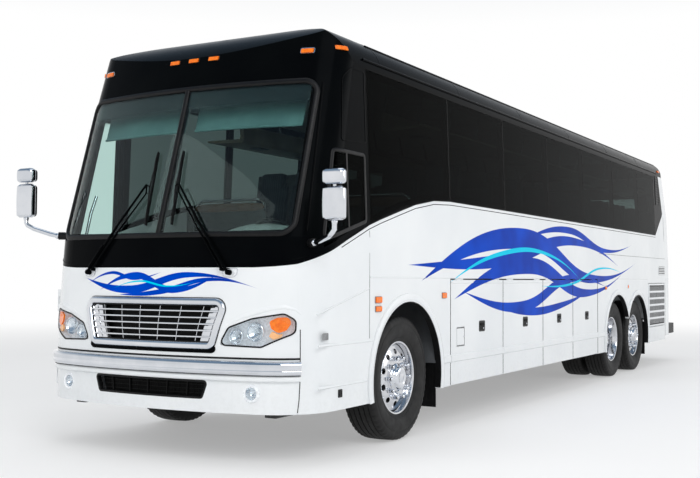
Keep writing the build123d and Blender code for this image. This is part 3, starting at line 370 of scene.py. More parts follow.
class Nodes:
    """The node tree of a material or world, with short calls for the nodes used here."""

    def __init__(self, owner, output="ShaderNodeOutputMaterial", place="Object"):
        self.owner = bpy.data.materials.new(owner) if isinstance(owner, str) else owner
        self.owner.use_nodes = True
        self.tree = self.owner.node_tree
        self.tree.nodes.clear()
        self.out = self.new(output)
        self.place = self.new("ShaderNodeTexCoord").outputs[place]

    def new(self, kind, inputs=(), **settings):
        """A node. inputs are pairs of an input's name or number and what goes into it."""
        node = self.tree.nodes.new(kind)
        for key, value in settings.items():
            setattr(node, key, value)
        for key, value in inputs:
            self.put(node.inputs[key], value)
        return node

    def put(self, socket, value):
        if isinstance(value, bpy.types.NodeSocket):
            self.tree.links.new(value, socket)
        else:
            socket.default_value = value

    def math(self, op, *values):
        return self.new("ShaderNodeMath", enumerate(values), operation=op).outputs[0]

    def mix(self, factor, a, b):
        return self.new("ShaderNodeMix", (("Factor", factor), ("A", a), ("B", b)), data_type="RGBA").outputs["Result"]

    def blend(self, factor, a, b):
        """One surface or the other."""
        return self.new("ShaderNodeMixShader", enumerate((factor, a, b))).outputs[0]

    def clear(self, colour):
        return self.new("ShaderNodeBsdfTransparent", ((0, colour),)).outputs[0]

    def noise(self, scale, detail=3.0, rough=.5):
        return self.new("ShaderNodeTexNoise", (("Scale", scale), ("Detail", detail), ("Roughness", rough),
                                               ("Vector", self.place))).outputs["Fac"]

    def clouds(self, a, b, scale, detail=4, rough=.5, low=.3, high=.7):
        """Noise spread over the range from a to b, or mixed colours where a and b are colours."""
        cloud = self.noise(scale, detail, rough)
        if hasattr(a, "__len__"):
            return self.mix(self.range(cloud, low, high), a, b)
        return self.range(cloud, low, high, a, b)

    def range(self, value, low, high, a=0.0, b=1.0, smooth=False):
        return self.new("ShaderNodeMapRange", enumerate((value, low, high, a, b)),
                        interpolation_type="SMOOTHSTEP" if smooth else "LINEAR").outputs[0]

    def xyz(self):
        return self.new("ShaderNodeSeparateXYZ", ((0, self.place),)).outputs

    def bump(self, height, depth):
        return self.new("ShaderNodeBump", (("Distance", depth), ("Height", height))).outputs[0]

    def curve(self, value, points):
        """A smooth line through points whose first numbers run from 0 to 1."""
        node = self.new("ShaderNodeFloatCurve", (("Value", value),))
        node.mapping.use_clip = False
        line = node.mapping.curves[0].points
        for k, (x, y) in enumerate(points):
            if 0 < k < len(points) - 1:
                line.new(x, y)
            else:
                line[0 if k == 0 else len(line) - 1].location = (x, y)
        node.mapping.update()
        return node.outputs[0]

    def distance(self, a, b):
        """Length of a flat vector."""
        return self.math("SQRT", self.math("ADD", self.math("MULTIPLY", a, a), self.math("MULTIPLY", b, b)))

    def seen(self):
        """1 for rays from the camera, directly or through glass or off a mirror."""
        rays = self.new("ShaderNodeLightPath").outputs
        first = self.math("MAXIMUM", rays["Is Camera Ray"], rays["Is Transmission Ray"])
        return self.math("MAXIMUM", first, rays["Is Glossy Ray"])

    def principled(self, colour, rough, metallic=0.0, normal=None, **more):
        inputs = [("Base Color", colour), ("Roughness", rough), ("Metallic", metallic)]
        inputs += [("Normal", normal)] if normal else []
        inputs += [(key.replace("_", " "), value) for key, value in more.items()]
        return self.new("ShaderNodeBsdfPrincipled", inputs).outputs[0]

    def done(self, surface):
        self.put(self.out.inputs["Surface"], surface)
        return self.owner


def plain(name, light, dark, rough, spread=.08, scale=6.0, metallic=0.0, grain=None, depth=.0004, **more):
    """A material between two near display colours with uneven roughness and optional fine grain."""
    n = Nodes(name)
    colour = n.clouds(srgb(*dark), srgb(*light), scale, 4, .6)
    uneven = n.clouds(rough - spread * .5, rough + spread * .5, scale * 3.3, 3)
    normal = n.bump(n.noise(grain, 4, .6), depth) if grain else None
    return n.done(n.principled(colour, uneven, metallic, normal, **more))


BLUE, BLUE_DEEP, CYAN = srgb(0, 72, 196), srgb(0, 56, 168), srgb(0, 205, 236)
WHITE, WHITE_SHADE, DUST = srgb(238, 240, 241), srgb(229, 232, 234), srgb(150, 146, 140)
BLACK, BLACK_SHADE = srgb(9, 11, 12), srgb(5, 6, 8)
WHITE_SHEEN, BLUE_SHEEN, BLACK_SHEEN = (.6, .6, .6, 1), (.05, .28, .6, 1), (.34, .37, .40, 1)
SHINE, BLUE_SHINE, BLACK_SHINE, LEAST_SHINE = .4, -.392, -.40, .02   # of white, and what blue and black take off
DUST_REACH, DUST_CLEAR, DUST_PART = .35, .8, .09                     # heights where dust thins out, and its part
SHARP = .001                 # half the width over which two paints meet
# Ribbons on the flank: start, end (stations), four heights of the centre line, greatest half width,
# where along the ribbon it is widest, and whether it is the pale accent
FLANK_RIBBONS = (
    (2.05, 9.75, (1.33, 1.79, 1.36, 1.67), .115, .34, 0),
    (1.78, 8.60, (1.47, 1.55, 1.82, 1.50), .074, .42, 0),
    (2.75, 8.95, (1.16, 1.50, 1.18, 1.52), .092, .36, 0),
    (2.95, 7.85, (1.24, 1.06, 1.36, 1.25), .064, .45, 0),
    (3.60, 7.10, (1.12, 1.00, 1.05, 1.22), .046, .45, 0),
    (4.70, 9.35, (1.80, 1.95, 1.74, 1.88), .044, .40, 0),
    (2.60, 6.80, (1.30, 1.62, 1.64, 1.30), .026, .42, 1),
    (5.10, 8.80, (1.28, 1.30, 1.50, 1.42), .017, .45, 1),
)
# The same for the front and the rear cap, from x to x
FRONT_RIBBONS = (
    (-.74, .86, (1.352, 1.262, 1.375, 1.300), .033, .40, 0),
    (-.56, .60, (1.245, 1.372, 1.262, 1.385), .028, .50, 0),
    (-.34, .96, (1.222, 1.248, 1.342, 1.262), .022, .40, 0),
    (-.70, .10, (1.300, 1.390, 1.345, 1.400), .014, .50, 0),
    (-.40, .44, (1.268, 1.326, 1.290, 1.330), .0085, .45, 1),
)
REAR_RIBBONS = (
    (-1.25, 1.20, (1.98, 1.86, 2.00, 1.90), .060, .40, 0),
    (-.95, 1.30, (1.86, 1.94, 1.84, 1.98), .036, .50, 0),
    (-.50, .70, (1.91, 1.94, 1.89, 1.92), .012, .40, 1),
)
TAPER = 1.1                  # how fast a ribbon swells from its start
CURVE_SPAN = 2.0             # height that a ribbon's curve stands for
RIBBON_SOFT = .0025          # width of a ribbon's soft edge


def ribbon(n, along, height, data):
    """Mask of one ribbon: a bent centre line with a width that swells and tapers."""
    start, end, heights, half, widest, accent = data
    t = n.range(along, start, end)
    line = n.curve(t, [(k / (len(heights) - 1), h / CURVE_SPAN) for k, h in enumerate(heights)])
    fall = TAPER * (1 - widest) / widest
    peak = widest ** TAPER * (1 - widest) ** fall
    swell = n.math("MULTIPLY", n.math("POWER", t, TAPER), n.math("POWER", n.math("SUBTRACT", 1.0, t), fall))
    swell = n.math("MULTIPLY", swell, half / peak)
    away = n.math("ABSOLUTE", n.math("SUBTRACT", height, n.math("MULTIPLY", line, CURVE_SPAN)))
    return n.range(n.math("SUBTRACT", swell, away), 0.0, RIBBON_SOFT)


# The line between the black window band and the white flank, the slant that ends the band, and the roof's edge
BELT_LINE = ((0.0, 1.44), (.18, 1.455), (.69, 1.62), (1.12, 1.774), (1.32, 1.83), (1.68, 1.92), (1.97, 1.99),
             (2.35, 2.05), (2.70, 2.066), (2.90, 2.067))
BELT_END = ((10.76, 2.08), (11.29, 2.434), (11.08, 3.06))
BELT_SPAN = 4.0              # height that the belt's curve stands for
ROOF_EDGE = 3.08
REAR_WINDOW = (.80, 2.51, .30, .111)         # its surround: half width, middle, half height, corner


def above_belt(n, station, height):
    """Mask of the black window band on a flank, slanted off behind the last window."""
    def slant(along, a0, b0, a1, b1):
        slope = (b1 - b0) / (a1 - a0)
        return n.math("MULTIPLY_ADD", along, slope, b0 - a0 * slope)
    reach = BELT_LINE[-1][0]
    line = n.curve(n.range(station, 0, reach), [(y / reach, z / BELT_SPAN) for y, z in BELT_LINE])
    line = n.math("MULTIPLY", line, BELT_SPAN)
    (y0, z0), (y1, z1), (y2, z2) = BELT_END
    line = n.math("MAXIMUM", line, slant(station, y0, z0, y1, z1))
    over = n.range(n.math("SUBTRACT", height, line), -SHARP, SHARP)
    ahead = n.range(n.math("SUBTRACT", slant(height, z1, y1, z2, y2), station), -SHARP, SHARP)
    top = n.range(height, ROOF_EDGE - SHARP, ROOF_EDGE + SHARP)
    return n.math("MAXIMUM", n.math("MULTIPLY", over, ahead), top)


def around_window(n, xyz):
    """Mask of the black surround of the rear window, with round corners."""
    half, middle, rise, corner = REAR_WINDOW
    across = n.math("MAXIMUM", n.math("SUBTRACT", n.math("ABSOLUTE", xyz[0]), half), 0.0)
    up = n.math("MAXIMUM", n.math("SUBTRACT", n.math("ABSOLUTE", n.math("SUBTRACT", xyz[2], middle)), rise), 0.0)
    return n.range(n.distance(across, up), corner + SHARP, corner - SHARP)


def paint(name, ribbons, lengthwise=False, black=None):
    """Gloss paint with the ribbons on it, which run lengthwise on the flanks and across on the ends.

    black is None for none, "all", "belt" or "rear" for the black parts of the scheme.
    """
    n = Nodes(name)
    xyz = n.xyz()
    station = n.math("ADD", xyz[1], DATUM)
    colour = n.clouds(WHITE_SHADE, WHITE, 1.3)
    shine, sheen = SHINE, WHITE_SHEEN
    if ribbons:
        blue = n.clouds(BLUE_DEEP, BLUE, 2.2, 2, low=.35, high=.65)
        for accent, shade in enumerate((blue, CYAN)):
            mask = None
            for data in ribbons:
                if data[-1] == accent:
                    one = ribbon(n, station if lengthwise else xyz[0], xyz[2], data)
                    mask = n.math("MAXIMUM", mask, one) if mask else one
            colour = n.mix(mask, colour, shade)
            sheen = n.mix(mask, sheen, BLUE_SHEEN)
            shine = n.math("MULTIPLY_ADD", mask, BLUE_SHINE, shine)
    dust = n.range(xyz[2], DUST_REACH, DUST_CLEAR, 1.0, 0.0)
    specks = n.range(n.noise(26, 5, .7), .45, .7)
    colour = n.mix(n.math("MULTIPLY", n.math("MULTIPLY", dust, specks), DUST_PART), colour, DUST)
    if black:
        dark = n.clouds(BLACK_SHADE, BLACK, 1.7)
        mask = above_belt(n, station, xyz[2]) if black in ("belt", "rear") else 1.0
        if black == "rear":
            mask = n.math("MAXIMUM", mask, around_window(n, xyz))
        colour = n.mix(mask, colour, dark)
        shine = n.math("MAXIMUM", n.math("MULTIPLY_ADD", mask, BLACK_SHINE, shine), LEAST_SHINE)
        sheen = n.mix(mask, sheen, BLACK_SHEEN)
    rough = n.clouds(.14, .22, 9)
    orange_peel = n.bump(n.noise(160, 2), .00005)
    return n.done(n.principled(colour, rough, 0, orange_peel, Specular_IOR_Level=shine, Specular_Tint=sheen))


def window(name, tint, shadow_tint, ior, sheen=(1, 1, 1, 1)):
    """Tinted glazing: smooth glass that lets lamp light through by its tint."""
    n = Nodes(name)
    ripple = n.bump(n.noise(3.0, 1), .0004)
    glass = n.principled(tint, .004, 0, ripple, Transmission_Weight=1.0, IOR=ior, Specular_Tint=sheen)
    in_shadow = n.new("ShaderNodeLightPath").outputs["Is Shadow Ray"]
    return n.done(n.blend(in_shadow, glass, n.clear(shadow_tint)))


white_flank = paint("white_paint_flank", FLANK_RIBBONS, True, "belt")
white_front = paint("white_paint_front", FRONT_RIBBONS)
white_plain = paint("white_paint_plain", ())
white_door = paint("white_paint_door", (), black="belt")
white_rear = paint("white_paint_rear", REAR_RIBBONS, black="rear")
black_paint = paint("black_paint", (), black="all")
black_gloss = plain("black_gloss", (7, 8, 9), (4, 5, 6), .16, .05, Specular_IOR_Level=.03,
                    Specular_Tint=BLACK_SHEEN)
chrome = plain("chrome", (221, 223, 227), (203, 207, 213), .05, .04, 3.0, 1.0, 40, .00003)
polished = plain("polished_alloy", (222, 223, 226), (196, 198, 203), .13, .08, 8.0, 1.0, 90, .00005)
rubber = plain("black_rubber", (20, 20, 21), (12, 12, 13), .42, .14, 12, 0, 420, .0002, Specular_IOR_Level=.2)
tyre_rubber = plain("tyre_rubber", (27, 26, 26), (17, 17, 17), .62, .14, 5, 0, 320, .0003, Specular_IOR_Level=.3)
trim = plain("black_trim", (22, 22, 23), (13, 13, 14), .38, .12, 20, 0, 600, .00012, Specular_IOR_Level=.25)
amber = plain("amber_lens", (246, 132, 20), (226, 96, 6), .16, .06, 40, 0, 260, .0008,
              Emission_Color=srgb(240, 110, 10), Emission_Strength=.12)
red = plain("red_lens", (196, 22, 14), (150, 8, 8), .16, .06, 40, 0, 260, .0008)
silver = plain("lamp_reflector", (245, 247, 249), (220, 224, 228), .12, .06, 30, 1.0)
grey_steel = plain("chassis_steel", (40, 40, 41), (24, 24, 25), .55, .2, 5, 0, 90, .0006)
iron = plain("axle_iron", (52, 51, 50), (30, 29, 29), .6, .2, 9, .3, 120, .0008)
bay_lining = plain("bay_lining", (70, 71, 72), (48, 49, 50), .6, .15, 6, 0, 200, .0005)
vinyl = plain("floor_vinyl", (92, 95, 98), (70, 72, 75), .5, .15, 4, 0, 300, .0004)
dash = plain("dash_plastic", (150, 154, 152), (126, 130, 129), .55, .1, 7, 0, 500, .0003)
rack = plain("rack_plastic", (150, 140, 122), (122, 108, 88), .45, .12, 3, 0, 260, .0002)
mesh_black = plain("louvre_black", (10, 10, 11), (5, 5, 5), .5, .15, 30, 0, 300, .0003, Specular_IOR_Level=.12)
louvre_grey = plain("louvre_grey", (150, 151, 152), (110, 111, 112), .45, .1, 14, .2, 200, .0002)
side_glass = window("tinted_glass", srgb(70, 80, 79), srgb(200, 206, 206), 1.05, (.40, .44, .48, 1))
screen_glass = window("screen_glass", srgb(214, 232, 228), srgb(222, 236, 232), 1.25)

# The finish of every CAD node. A star stands for left and right
FINISHES = (
    (white_flank, "side_wall_* baggage_door_*_1 baggage_door_*_2 baggage_door_*_3 baggage_door_*_4"),
    (white_front, "front_panel"), (white_door, "entrance_door"), (white_rear, "rear_cap"),
    (white_plain, "front_bumper engine_door radiator_door_* filler_flap"),
    (black_paint, "roof roof_hatch_front roof_hatch_rear front_mask"), (chrome, "grille bumper_bar mirrors"),
    (polished, "front_rim_* drive_rims_* tag_rim_*"), (tyre_rubber, "front_tyre_* drive_tyres_* tag_tyre_*"),
    (rubber, "rear_bumper mud_flaps"), (trim, "wipers seats"), (side_glass, "side_glass_*"),
    (screen_glass, "entrance_door_glass end_glass"), (silver, "headlamps"), (red, "tail_lamps"),
    (amber, "marker_lamps"), (grey_steel, "chassis"), (iron, "engine axles knuckle_*"),
    (bay_lining, "bay_structure"), (vinyl, "cabin_floor"), (rack, "luggage_racks"), (dash, "cab_fittings"))
for finish, names in FINISHES:
    for node in names.split():
        for side_name, _ in SIDES:
            worn = NODES[node.replace("*", side_name)].data.materials
            worn.clear()
            worn.append(finish)


# ------------------------------------------------------------------ shared profiles and shapes of the trim
def hat(foot, crown, sunk, height):
    """A raised bar with sloping sides: half widths at its foot and crown, and where these lie."""
    return even((foot, sunk), (crown, height))


def bead(foot, shoulder, sunk, rise, height):
    """A rounded bead."""
    return even((foot, sunk), (shoulder, rise), (0, height))


FINE = bead(.006, .005, -.002, .003, .0045)


def seal(place, outline, profile, name, material=rubber, body=BODY, smooth=50, step=.05, closed=True):
    """A strip of one profile along an outline on a surface, as a piece."""
    return Shape().strip(place, densify(outline, step, closed), profile, closed).make(name, material, body, smooth)


def plate(place, outline, back, thick, name, material, body=BODY, smooth=30, stands_for=None):
    """A flat plate on a surface, as a piece."""
    return Shape().slab(outline, place, thick, back).make(name, material, body, smooth, stands_for)


AXIS_R = .0005               # turned shapes end this near the axis


def capped(*profile):
    """A turned profile that is closed on the axis at both ends."""
    return [(profile[0][0], AXIS_R), *profile, (profile[-1][0], AXIS_R)]


NOSE_STEPS = 72


def front_run(height, end):
    """Points and normals round the front, from the right side to the left, down to a station.

    height is a function of the station.
    """
    def corner(inside, outside):
        (x0, z0), (y1, x1, z1) = inside[1:], outside
        y0 = nose_station(x0, z0)
        t = (end - y0) / (y1 - y0)
        return x0 + (x1 - x0) * t, z0 + (z1 - z0) * t

    rows = []
    for k in range(NOSE_STEPS + 1):
        x, z = NOSE_HALF * sin((k / NOSE_STEPS - .5) * pi), height(.1)
        for _ in range(3):
            y = nose_station(x, z)
            z = height(y)
        rows.append((y, x, z))
    kept = [k for k, row in enumerate(rows) if row[0] <= end]
    low, high = kept[0], kept[-1]
    return on(nose, [corner(rows[low], rows[low - 1])] + [row[1:] for row in rows[low:high + 1]]
              + [corner(rows[high], rows[high + 1])])


def band_foot(station):
    """Height of the foot of the black band."""
    for (y0, z0), (y1, z1) in zip(BELT_LINE, BELT_LINE[1:]):
        if station <= y1:
            return z0 + (z1 - z0) * (station - y0) / (y1 - y0)


# ------------------------------------------------------------------ windscreen
SCREEN_FOOT, SCREEN_RISE = 1.672, 1.18
GASKET = rounded([(-1.122, 1.675), (1.122, 1.675), (1.118, 2.852), (-1.118, 2.852)], .10, 10)
seal(nose, GASKET, [(-.022, -.004), (-.021, .007), (-.014, .014), (-.004, .0155), (.004, .0125), (.012, .0125),
                    (.019, .008), (.022, -.004)], "screen_gasket", step=.06)
seal(nose, GASKET, hat(.0022, .0016, .0125, .0157), "gasket_bead", trim, smooth=30, step=.06)
Shape().strip(nose, [(0, z) for z in spread(SCREEN_FOOT, SCREEN_FOOT + SCREEN_RISE, 20)],
              even((.021, -.005), (.019, .008), (.010, .014), (.003, .0155))).make("screen_mullion", rubber, smooth=50)

# dark band on the inside of the glass, fading in towards the top: painted shade where the cab's top lies in shadow
SHADE_FOOT, SHADE_FULL = 2.60, 2.72
n = Nodes("painted_screen_shade")
fade = n.range(n.xyz()[2], SHADE_FOOT, SHADE_FULL, 0.0, .93, True)
shade_coat = n.principled(n.mix(n.noise(8), srgb(14, 20, 22), srgb(20, 27, 29)), .3)
painted_screen_shade = n.done(n.blend(fade, n.clear((1, 1, 1, 1)), shade_coat))
band = Shape()
for half in (-1, 1):
    band.rings([[nose(half * x, z, -.016) for x in spread(.02, 1.075, 24)]
                for z in spread(SHADE_FOOT, SHADE_FOOT + .24, 4)], caps=False, loop=False)
band.make("screen_shade_band", painted_screen_shade)

# foot of the black band
pts, nrm = front_run(band_foot, .60)
for _, side in SIDES:
    more, out = on(wall(side), [(y, band_foot(y)) for y in (.66, .80, .95, 1.10)])
    pts, nrm = (pts + more, nrm + out) if side > 0 else (more[::-1] + pts, out + nrm)
Shape().sweep(pts, nrm, FINE).make("band_foot_strip", black_gloss)

# ------------------------------------------------------------------ grille
G_TOP, G_FOOT = (.664, 1.178), (.568, .858)          # half width and height
G_WIDER, G_TALL = G_TOP[0] - G_FOOT[0], G_TOP[1] - G_FOOT[1]
FRAME_LINE = rounded([(-G_TOP[0], G_TOP[1]), G_TOP, G_FOOT, (-G_FOOT[0], G_FOOT[1])], (.055, .055, .045, .045), 8)
grille = Shape().strip(nose, densify(FRAME_LINE, .05), [
    (-.027, -.05), (-.027, .002), (-.024, .012), (-.014, .019), (.002, .0215), (.014, .019), (.023, .012),
    (.026, .002), (.026, -.05)], True)
seal(nose, FRAME_LINE, hat(.033, .032, -.004, .002), "grille_seal", smooth=30)
for z in spread(.876, 1.156, 6)[1:-1]:
    half = G_FOOT[0] + G_WIDER * (z - G_FOOT[1]) / G_TALL - .010
    grille.strip(nose, [(x, z) for x in spread(-half, half, 24)],
                 even((.0065, -.010), (.0065, .003), (.0045, .0062), (0, .0072)), off=-.004)
grille.strips(nose, [[(x * (.86 + .14 * t), .872 + .286 * t) for t in spread(0, 1, 6)] for x in spread(-.49, .49, 5)],
              hat(.0022, .0022, -.006, .004), -.018)
CHEEK = ((0, -.004), (.020, -.007), (.024, -.013), (.060, -.019), (.064, -.026), (.100, -.034), (.104, -.070),
         (.098, -.070), (.094, -.040), (.0, -.012))
for side in (-1, 1):                         # bright cheeks inside the frame
    grille.rings([[nose(side * (G_FOOT[0] + G_WIDER * t - .018 - across), G_FOOT[1] + G_TALL * (.03 + .94 * t), off)
                   for across, off in CHEEK] for t in spread(0, 1, 12)])
grille.make("grille_dressed", chrome, smooth=40, stands_for="grille")
plate(nose, densify(rounded([(-.645, 1.163), (.645, 1.163), (.556, .868), (-.556, .868)], .03, 4), .08), -.100, .004,
      "grille_backing", mesh_black)
# shadowed recess that the grille's foot stands over
RECESS_HALF, RECESS_END = .604, .038
rings = []
for k in range(61):
    x = RECESS_HALF * sin(pi / 2 * (k / 30 - 1))
    half = .002 + .030 * sqrt(max(0, 1 - max(0, (abs(x) - RECESS_HALF + RECESS_END) / RECESS_END) ** 2))
    rings.append([nose(x, .838 + a * half, b) for a, b in even((1, -.006), (1, .003), (.85, .006))])
Shape().rings(rings).make("grille_recess", black_gloss)

# ------------------------------------------------------------------ headlamps
n = Nodes("lamp_clear")
glass = n.clear((1, 1, 1, 1))
n.put(glass.node.inputs[0], n.mix(n.noise(3), (.95, .97, .98, 1), (.98, .99, 1, 1)))
face = n.new("ShaderNodeBsdfGlossy", (("Roughness", .03),)).outputs[0]
edge = n.new("ShaderNodeFresnel", (("IOR", 1.32),)).outputs[0]
behind = n.new("ShaderNodeNewGeometry").outputs["Backfacing"]
lamp_clear = n.done(n.blend(n.math("MULTIPLY", edge, n.math("SUBTRACT", 1.0, behind)), glass, face))
# The bezel finish has a small emission of its own. This is painted light: the bezel is no lamp, and the glow lifts the
# headlamps' shadowed pockets, and every other part in this finish, above their lighting.
glowing_bezel = plain("lamp_bezel", (244, 246, 248), (226, 229, 232), .28, .1, 18, .15, 160, .0003,
                   Emission_Color=srgb(226, 229, 232), Emission_Strength=.08)
pale_amber = plain("pale_amber_lens", (250, 196, 142), (243, 176, 116), .15, .05, 40, 0, 200, .0002)
LAMP = rounded([(.632, .868), (.955, .858), (1.165, .960), (1.165, 1.052), (1.100, 1.098), (.880, 1.060),
                (.705, .995)], (.03, .06, .05, .05, .04, .05, .05), 5)
TURN = rounded([(1.006, 1.044), (1.060, 1.072), (1.128, 1.074), (1.142, 1.030), (1.118, .980), (1.066, .958),
                (1.022, .992)], (.02, .03, .03, .03, .03, .03, .03), 5)
SMALL = rounded([(1.028, .974), (1.072, .948), (1.100, .958), (1.086, .928), (1.040, .912), (1.006, .936)], .010, 4)
BROW = [(.69, 1.012), (.78, 1.060), (.90, 1.100), (1.02, 1.135), (1.10, 1.143), (1.16, 1.125), (1.20, 1.080)]
CREASE_OVER = [(-.034, 0), (-.018, .005), (-.006, .009), (.004, .0095), (.012, .006), (.018, 0)]
BOWLS = ((.755, .930, .058), (.902, .965, .070))     # x, height, radius
DISH_DEPTH, DISH_RIM, DISH_STEPS, FLUTES = .042, .007, 8, 5


def on_side(points, side):
    return [(side * x, z) for x, z in points]


for side_name, side in SIDES:
    shown = on_side(densify(LAMP, .03), side)
    # the pocket's back and wall wear the glowing bezel finish: painted light against the pocket's shade
    plate(nose, shown, -.075, .004, f"lamp_back_{side_name}", glowing_bezel)
    for part, profile, finish in (("wall", [(-.004, -.072), (-.004, .0), (.0035, .0), (.0035, -.072)], glowing_bezel),
                                  ("seal", hat(.006, .005, -.002, .0032), rubber)):
        Shape().strip(nose, shown, profile, True).make(f"lamp_{part}_{side_name}", finish, smooth=50)
    bowls, bulbs = Shape(), Shape()
    for x, z, r in BOWLS:
        at = nose(side * x, z, -.024)
        into = ((nose(side * x, z, -.1) - nose(side * x, z)).normalized() * .45 + BACK * .55).normalized()
        dish = [(-.004, r), (-.006, r - .003), (-.004, r - .006)]
        dish += [(DISH_DEPTH * (1 - t ** 2), (r - DISH_RIM) * t + .001) for t in spread(1, 0, DISH_STEPS)]
        dish += [(.050, AXIS_R), (.050, r * .5), (.004, r + .002)]
        bowls.lathe(dish, at, into, 40)
        bulbs.lathe([(-.001, AXIS_R), (.0, r * .20), (.006, r * .26), (.040, r * .24), (.040, AXIS_R)], at, into, 24)
        for k in range(FLUTES):              # flutes of the reflector
            rr = (r - .010) * (k + 1.4) / (FLUTES + 1.4)
            s = (DISH_DEPTH - .001) * (1 - (rr / (r - DISH_RIM)) ** 2)
            bowls.lathe([(s, rr - .002), (s - .0022, rr), (s, rr + .002)], at, into, 36)
    bowls.make(f"lamp_bowls_{side_name}", silver, smooth=60)
    bulbs.make(f"lamp_bulbs_{side_name}", lamp_clear, smooth=60)
    plate(nose, on_side(densify(TURN, .02), side), -.020, .014, f"turn_lamp_{side_name}", amber)
    plate(nose, on_side(densify(SMALL, .02), side), -.022, .016, f"side_lens_{side_name}", pale_amber)
    plate(nose, shown, -.003, .0042, f"lamp_cover_{side_name}", lamp_clear,
          stands_for="headlamps" if side > 0 else None)
    # the crease over the lamp swells and fades
    pts, nrm = on(nose, densify(on_side(BROW, side), .03, False), -.002)
    last = len(pts) - 1
    rings = []
    for i, (p, out) in enumerate(zip(pts, nrm)):
        grow = sin(pi * i / last) ** .6 * .9 + .02
        across = (pts[min(i + 1, last)] - pts[max(i - 1, 0)]).normalized().cross(out).normalized()
        rings.append([p + across * a * grow + out * b * grow for a, b in CREASE_OVER])
    Shape().rings(rings).make(f"lamp_brow_{side_name}", white_front, smooth=70)

# ------------------------------------------------------------------ bumper
BAR = [(-.047, .001), (-.047, .020), (-.044, .030), (-.036, .037), (-.026, .041), (-.022, .0375), (.016, .0365),
       (.021, .039), (.028, .040), (.040, .036), (.052, .026), (.056, .012), (.056, .001)]
LIP = [(-.024, .0), (-.022, .008), (-.014, .017), (-.002, .022), (.012, .023), (.020, .018), (.023, .008), (.023, .0)]
for height, profile, name, finish, smooth, node in (
        (.710, BAR, "bumper_bar_dressed", chrome, 40, "bumper_bar"),
        (.775, hat(.008, .006, -.002, .003), "bumper_seal_top", rubber, 30, None),
        (.634, LIP, "bumper_lip", white_front, 60, None),
        (.659, hat(.005, .004, -.002, .026), "bumper_seal_foot", rubber, 30, None)):
    Shape().sweep(*front_run(lambda y: height, .289), profile).make(name, finish, smooth=smooth, stands_for=node)

# fog lamps
FOG = (.884, .525)                           # x and height
FOG_FLUTE_R = .044
FOG_PARTS = (
    ("ring", [(-.006, .046), (-.010, .056), (-.004, .0655), (.004, .066), (.030, .060), (.030, .048)], 44,
     glowing_bezel, 50),
    ("bowl", [(.050, AXIS_R), (.044, .020), (.028, .040), (.006, .050), (.004, .048), (.030, .036), (.046, .016),
              (.052, AXIS_R)], 40, silver, 60),
    ("lens", [(-.008, AXIS_R), (-.006, .024), (.0, .047), (.004, .047), (.000, .024), (-.002, AXIS_R)], 40,
     lamp_clear, 60))
for side_name, side in SIDES:
    at = nose(side * FOG[0], FOG[1])
    into = Vector((-side * .10, 1, 0)).normalized()
    for part, profile, sides, finish, smooth in FOG_PARTS:
        Shape().lathe(profile, at, into, sides).make(f"fog_{part}_{side_name}", finish, smooth=smooth)
    rows = Shape()
    for z in spread(-.032, .032, 4):
        w = sqrt(FOG_FLUTE_R ** 2 - z ** 2)
        rows.tube([at + Vector((-w, .004, z)), at + Vector((w, .004, z))], .0016, 6)
    rows.make(f"fog_flutes_{side_name}", silver)

# lower intake
INTAKE = rounded([(-.538, .602), (.538, .602), (.495, .480), (-.495, .480)], .022, 5)
seal(nose, INTAKE, [(-.008, -.035), (-.008, .001), (.006, .003), (.008, -.001), (.008, -.035)], "intake_edge")
plate(nose, densify(INTAKE, .06), -.070, .003, "intake_back", mesh_black)
bars = Shape().strips(nose, [[(k * .178, .482), (k * .180, .54), (k * .184, .600)] for k in range(-2, 3)],
                      hat(.0045, .0045, -.016, .002), -.016)
bars.strips(nose, [[(x, z) for x in spread(-.51, .51, 16)] for z in (.510, .541, .572)],
            hat(.0016, .0016, -.004, .002), -.024)
bars.strips(nose, [[(k * .0215, .484), (k * .0217, .598)] for k in range(-23, 24)],
            hat(.0011, .0011, -.003, .001), -.030)
bars.make("intake_bars", mesh_black)

# seams at the bumper's corners, and the brackets under it
SEAM = ((1.187, .985), (1.1875, .86), (1.188, .74), (1.187, .60), (1.183, .48), (1.176, .39))
for side_name, side in SIDES:
    Shape().strip(nose, on_side(SEAM, side), hat(.004, .003, -.002, .0015)).make(f"corner_seam_{side_name}", rubber)
brackets = Shape()
for x in (-.86, .98):
    brackets.block((x - .05, st(.22), .345), (x + .05, st(.50), .385), .006)
brackets.block((-.30, st(.30), .35), (.30, st(.62), .39), .01)
brackets.make("under_brackets", grey_steel)


def turned(profile, at, axis, sides, name, material, body=BODY, smooth=50, stands_for=None):
    """A turned piece."""
    return Shape().lathe(profile, at, axis, sides).make(name, material, body, smooth, stands_for)


def upright(y):
    """A flat plane across the coach, as a surface of x and heights."""
    return lambda a, b, off=0.0: Vector((a, y + off, b))


# ------------------------------------------------------------------ mirrors
MIRROR_X, MIRROR_Y = 1.510, st(.215)
MIRRORS = {1: (1.610, 1.672, (1.758, 2.000), (2.008, 2.126)), -1: (1.700, 1.786, (1.852, 2.140), (2.148, 2.272))}
MIRROR_CORNER = .022         # height over which a shell's ends are rounded


def mirror_shell(x, y, z0, z1):
    """Rings of a soft box whose plan grows a little at mid height."""
    rings = []
    for t in spread(0, 1, 14):
        pull = MIRROR_CORNER * (1 - min(min(t, 1 - t) * (z1 - z0) / MIRROR_CORNER, 1)) ** 2
        grow = .004 * sin(pi * t)
        half = .088 - pull + grow * .3
        plan = oblong(x - half, x + half, y - .042 + pull - grow, y + .042 - pull, .036, 6)
        rings.append([Vector((a, b, z0 + (z1 - z0) * t)) for a, b in plan])
    return rings


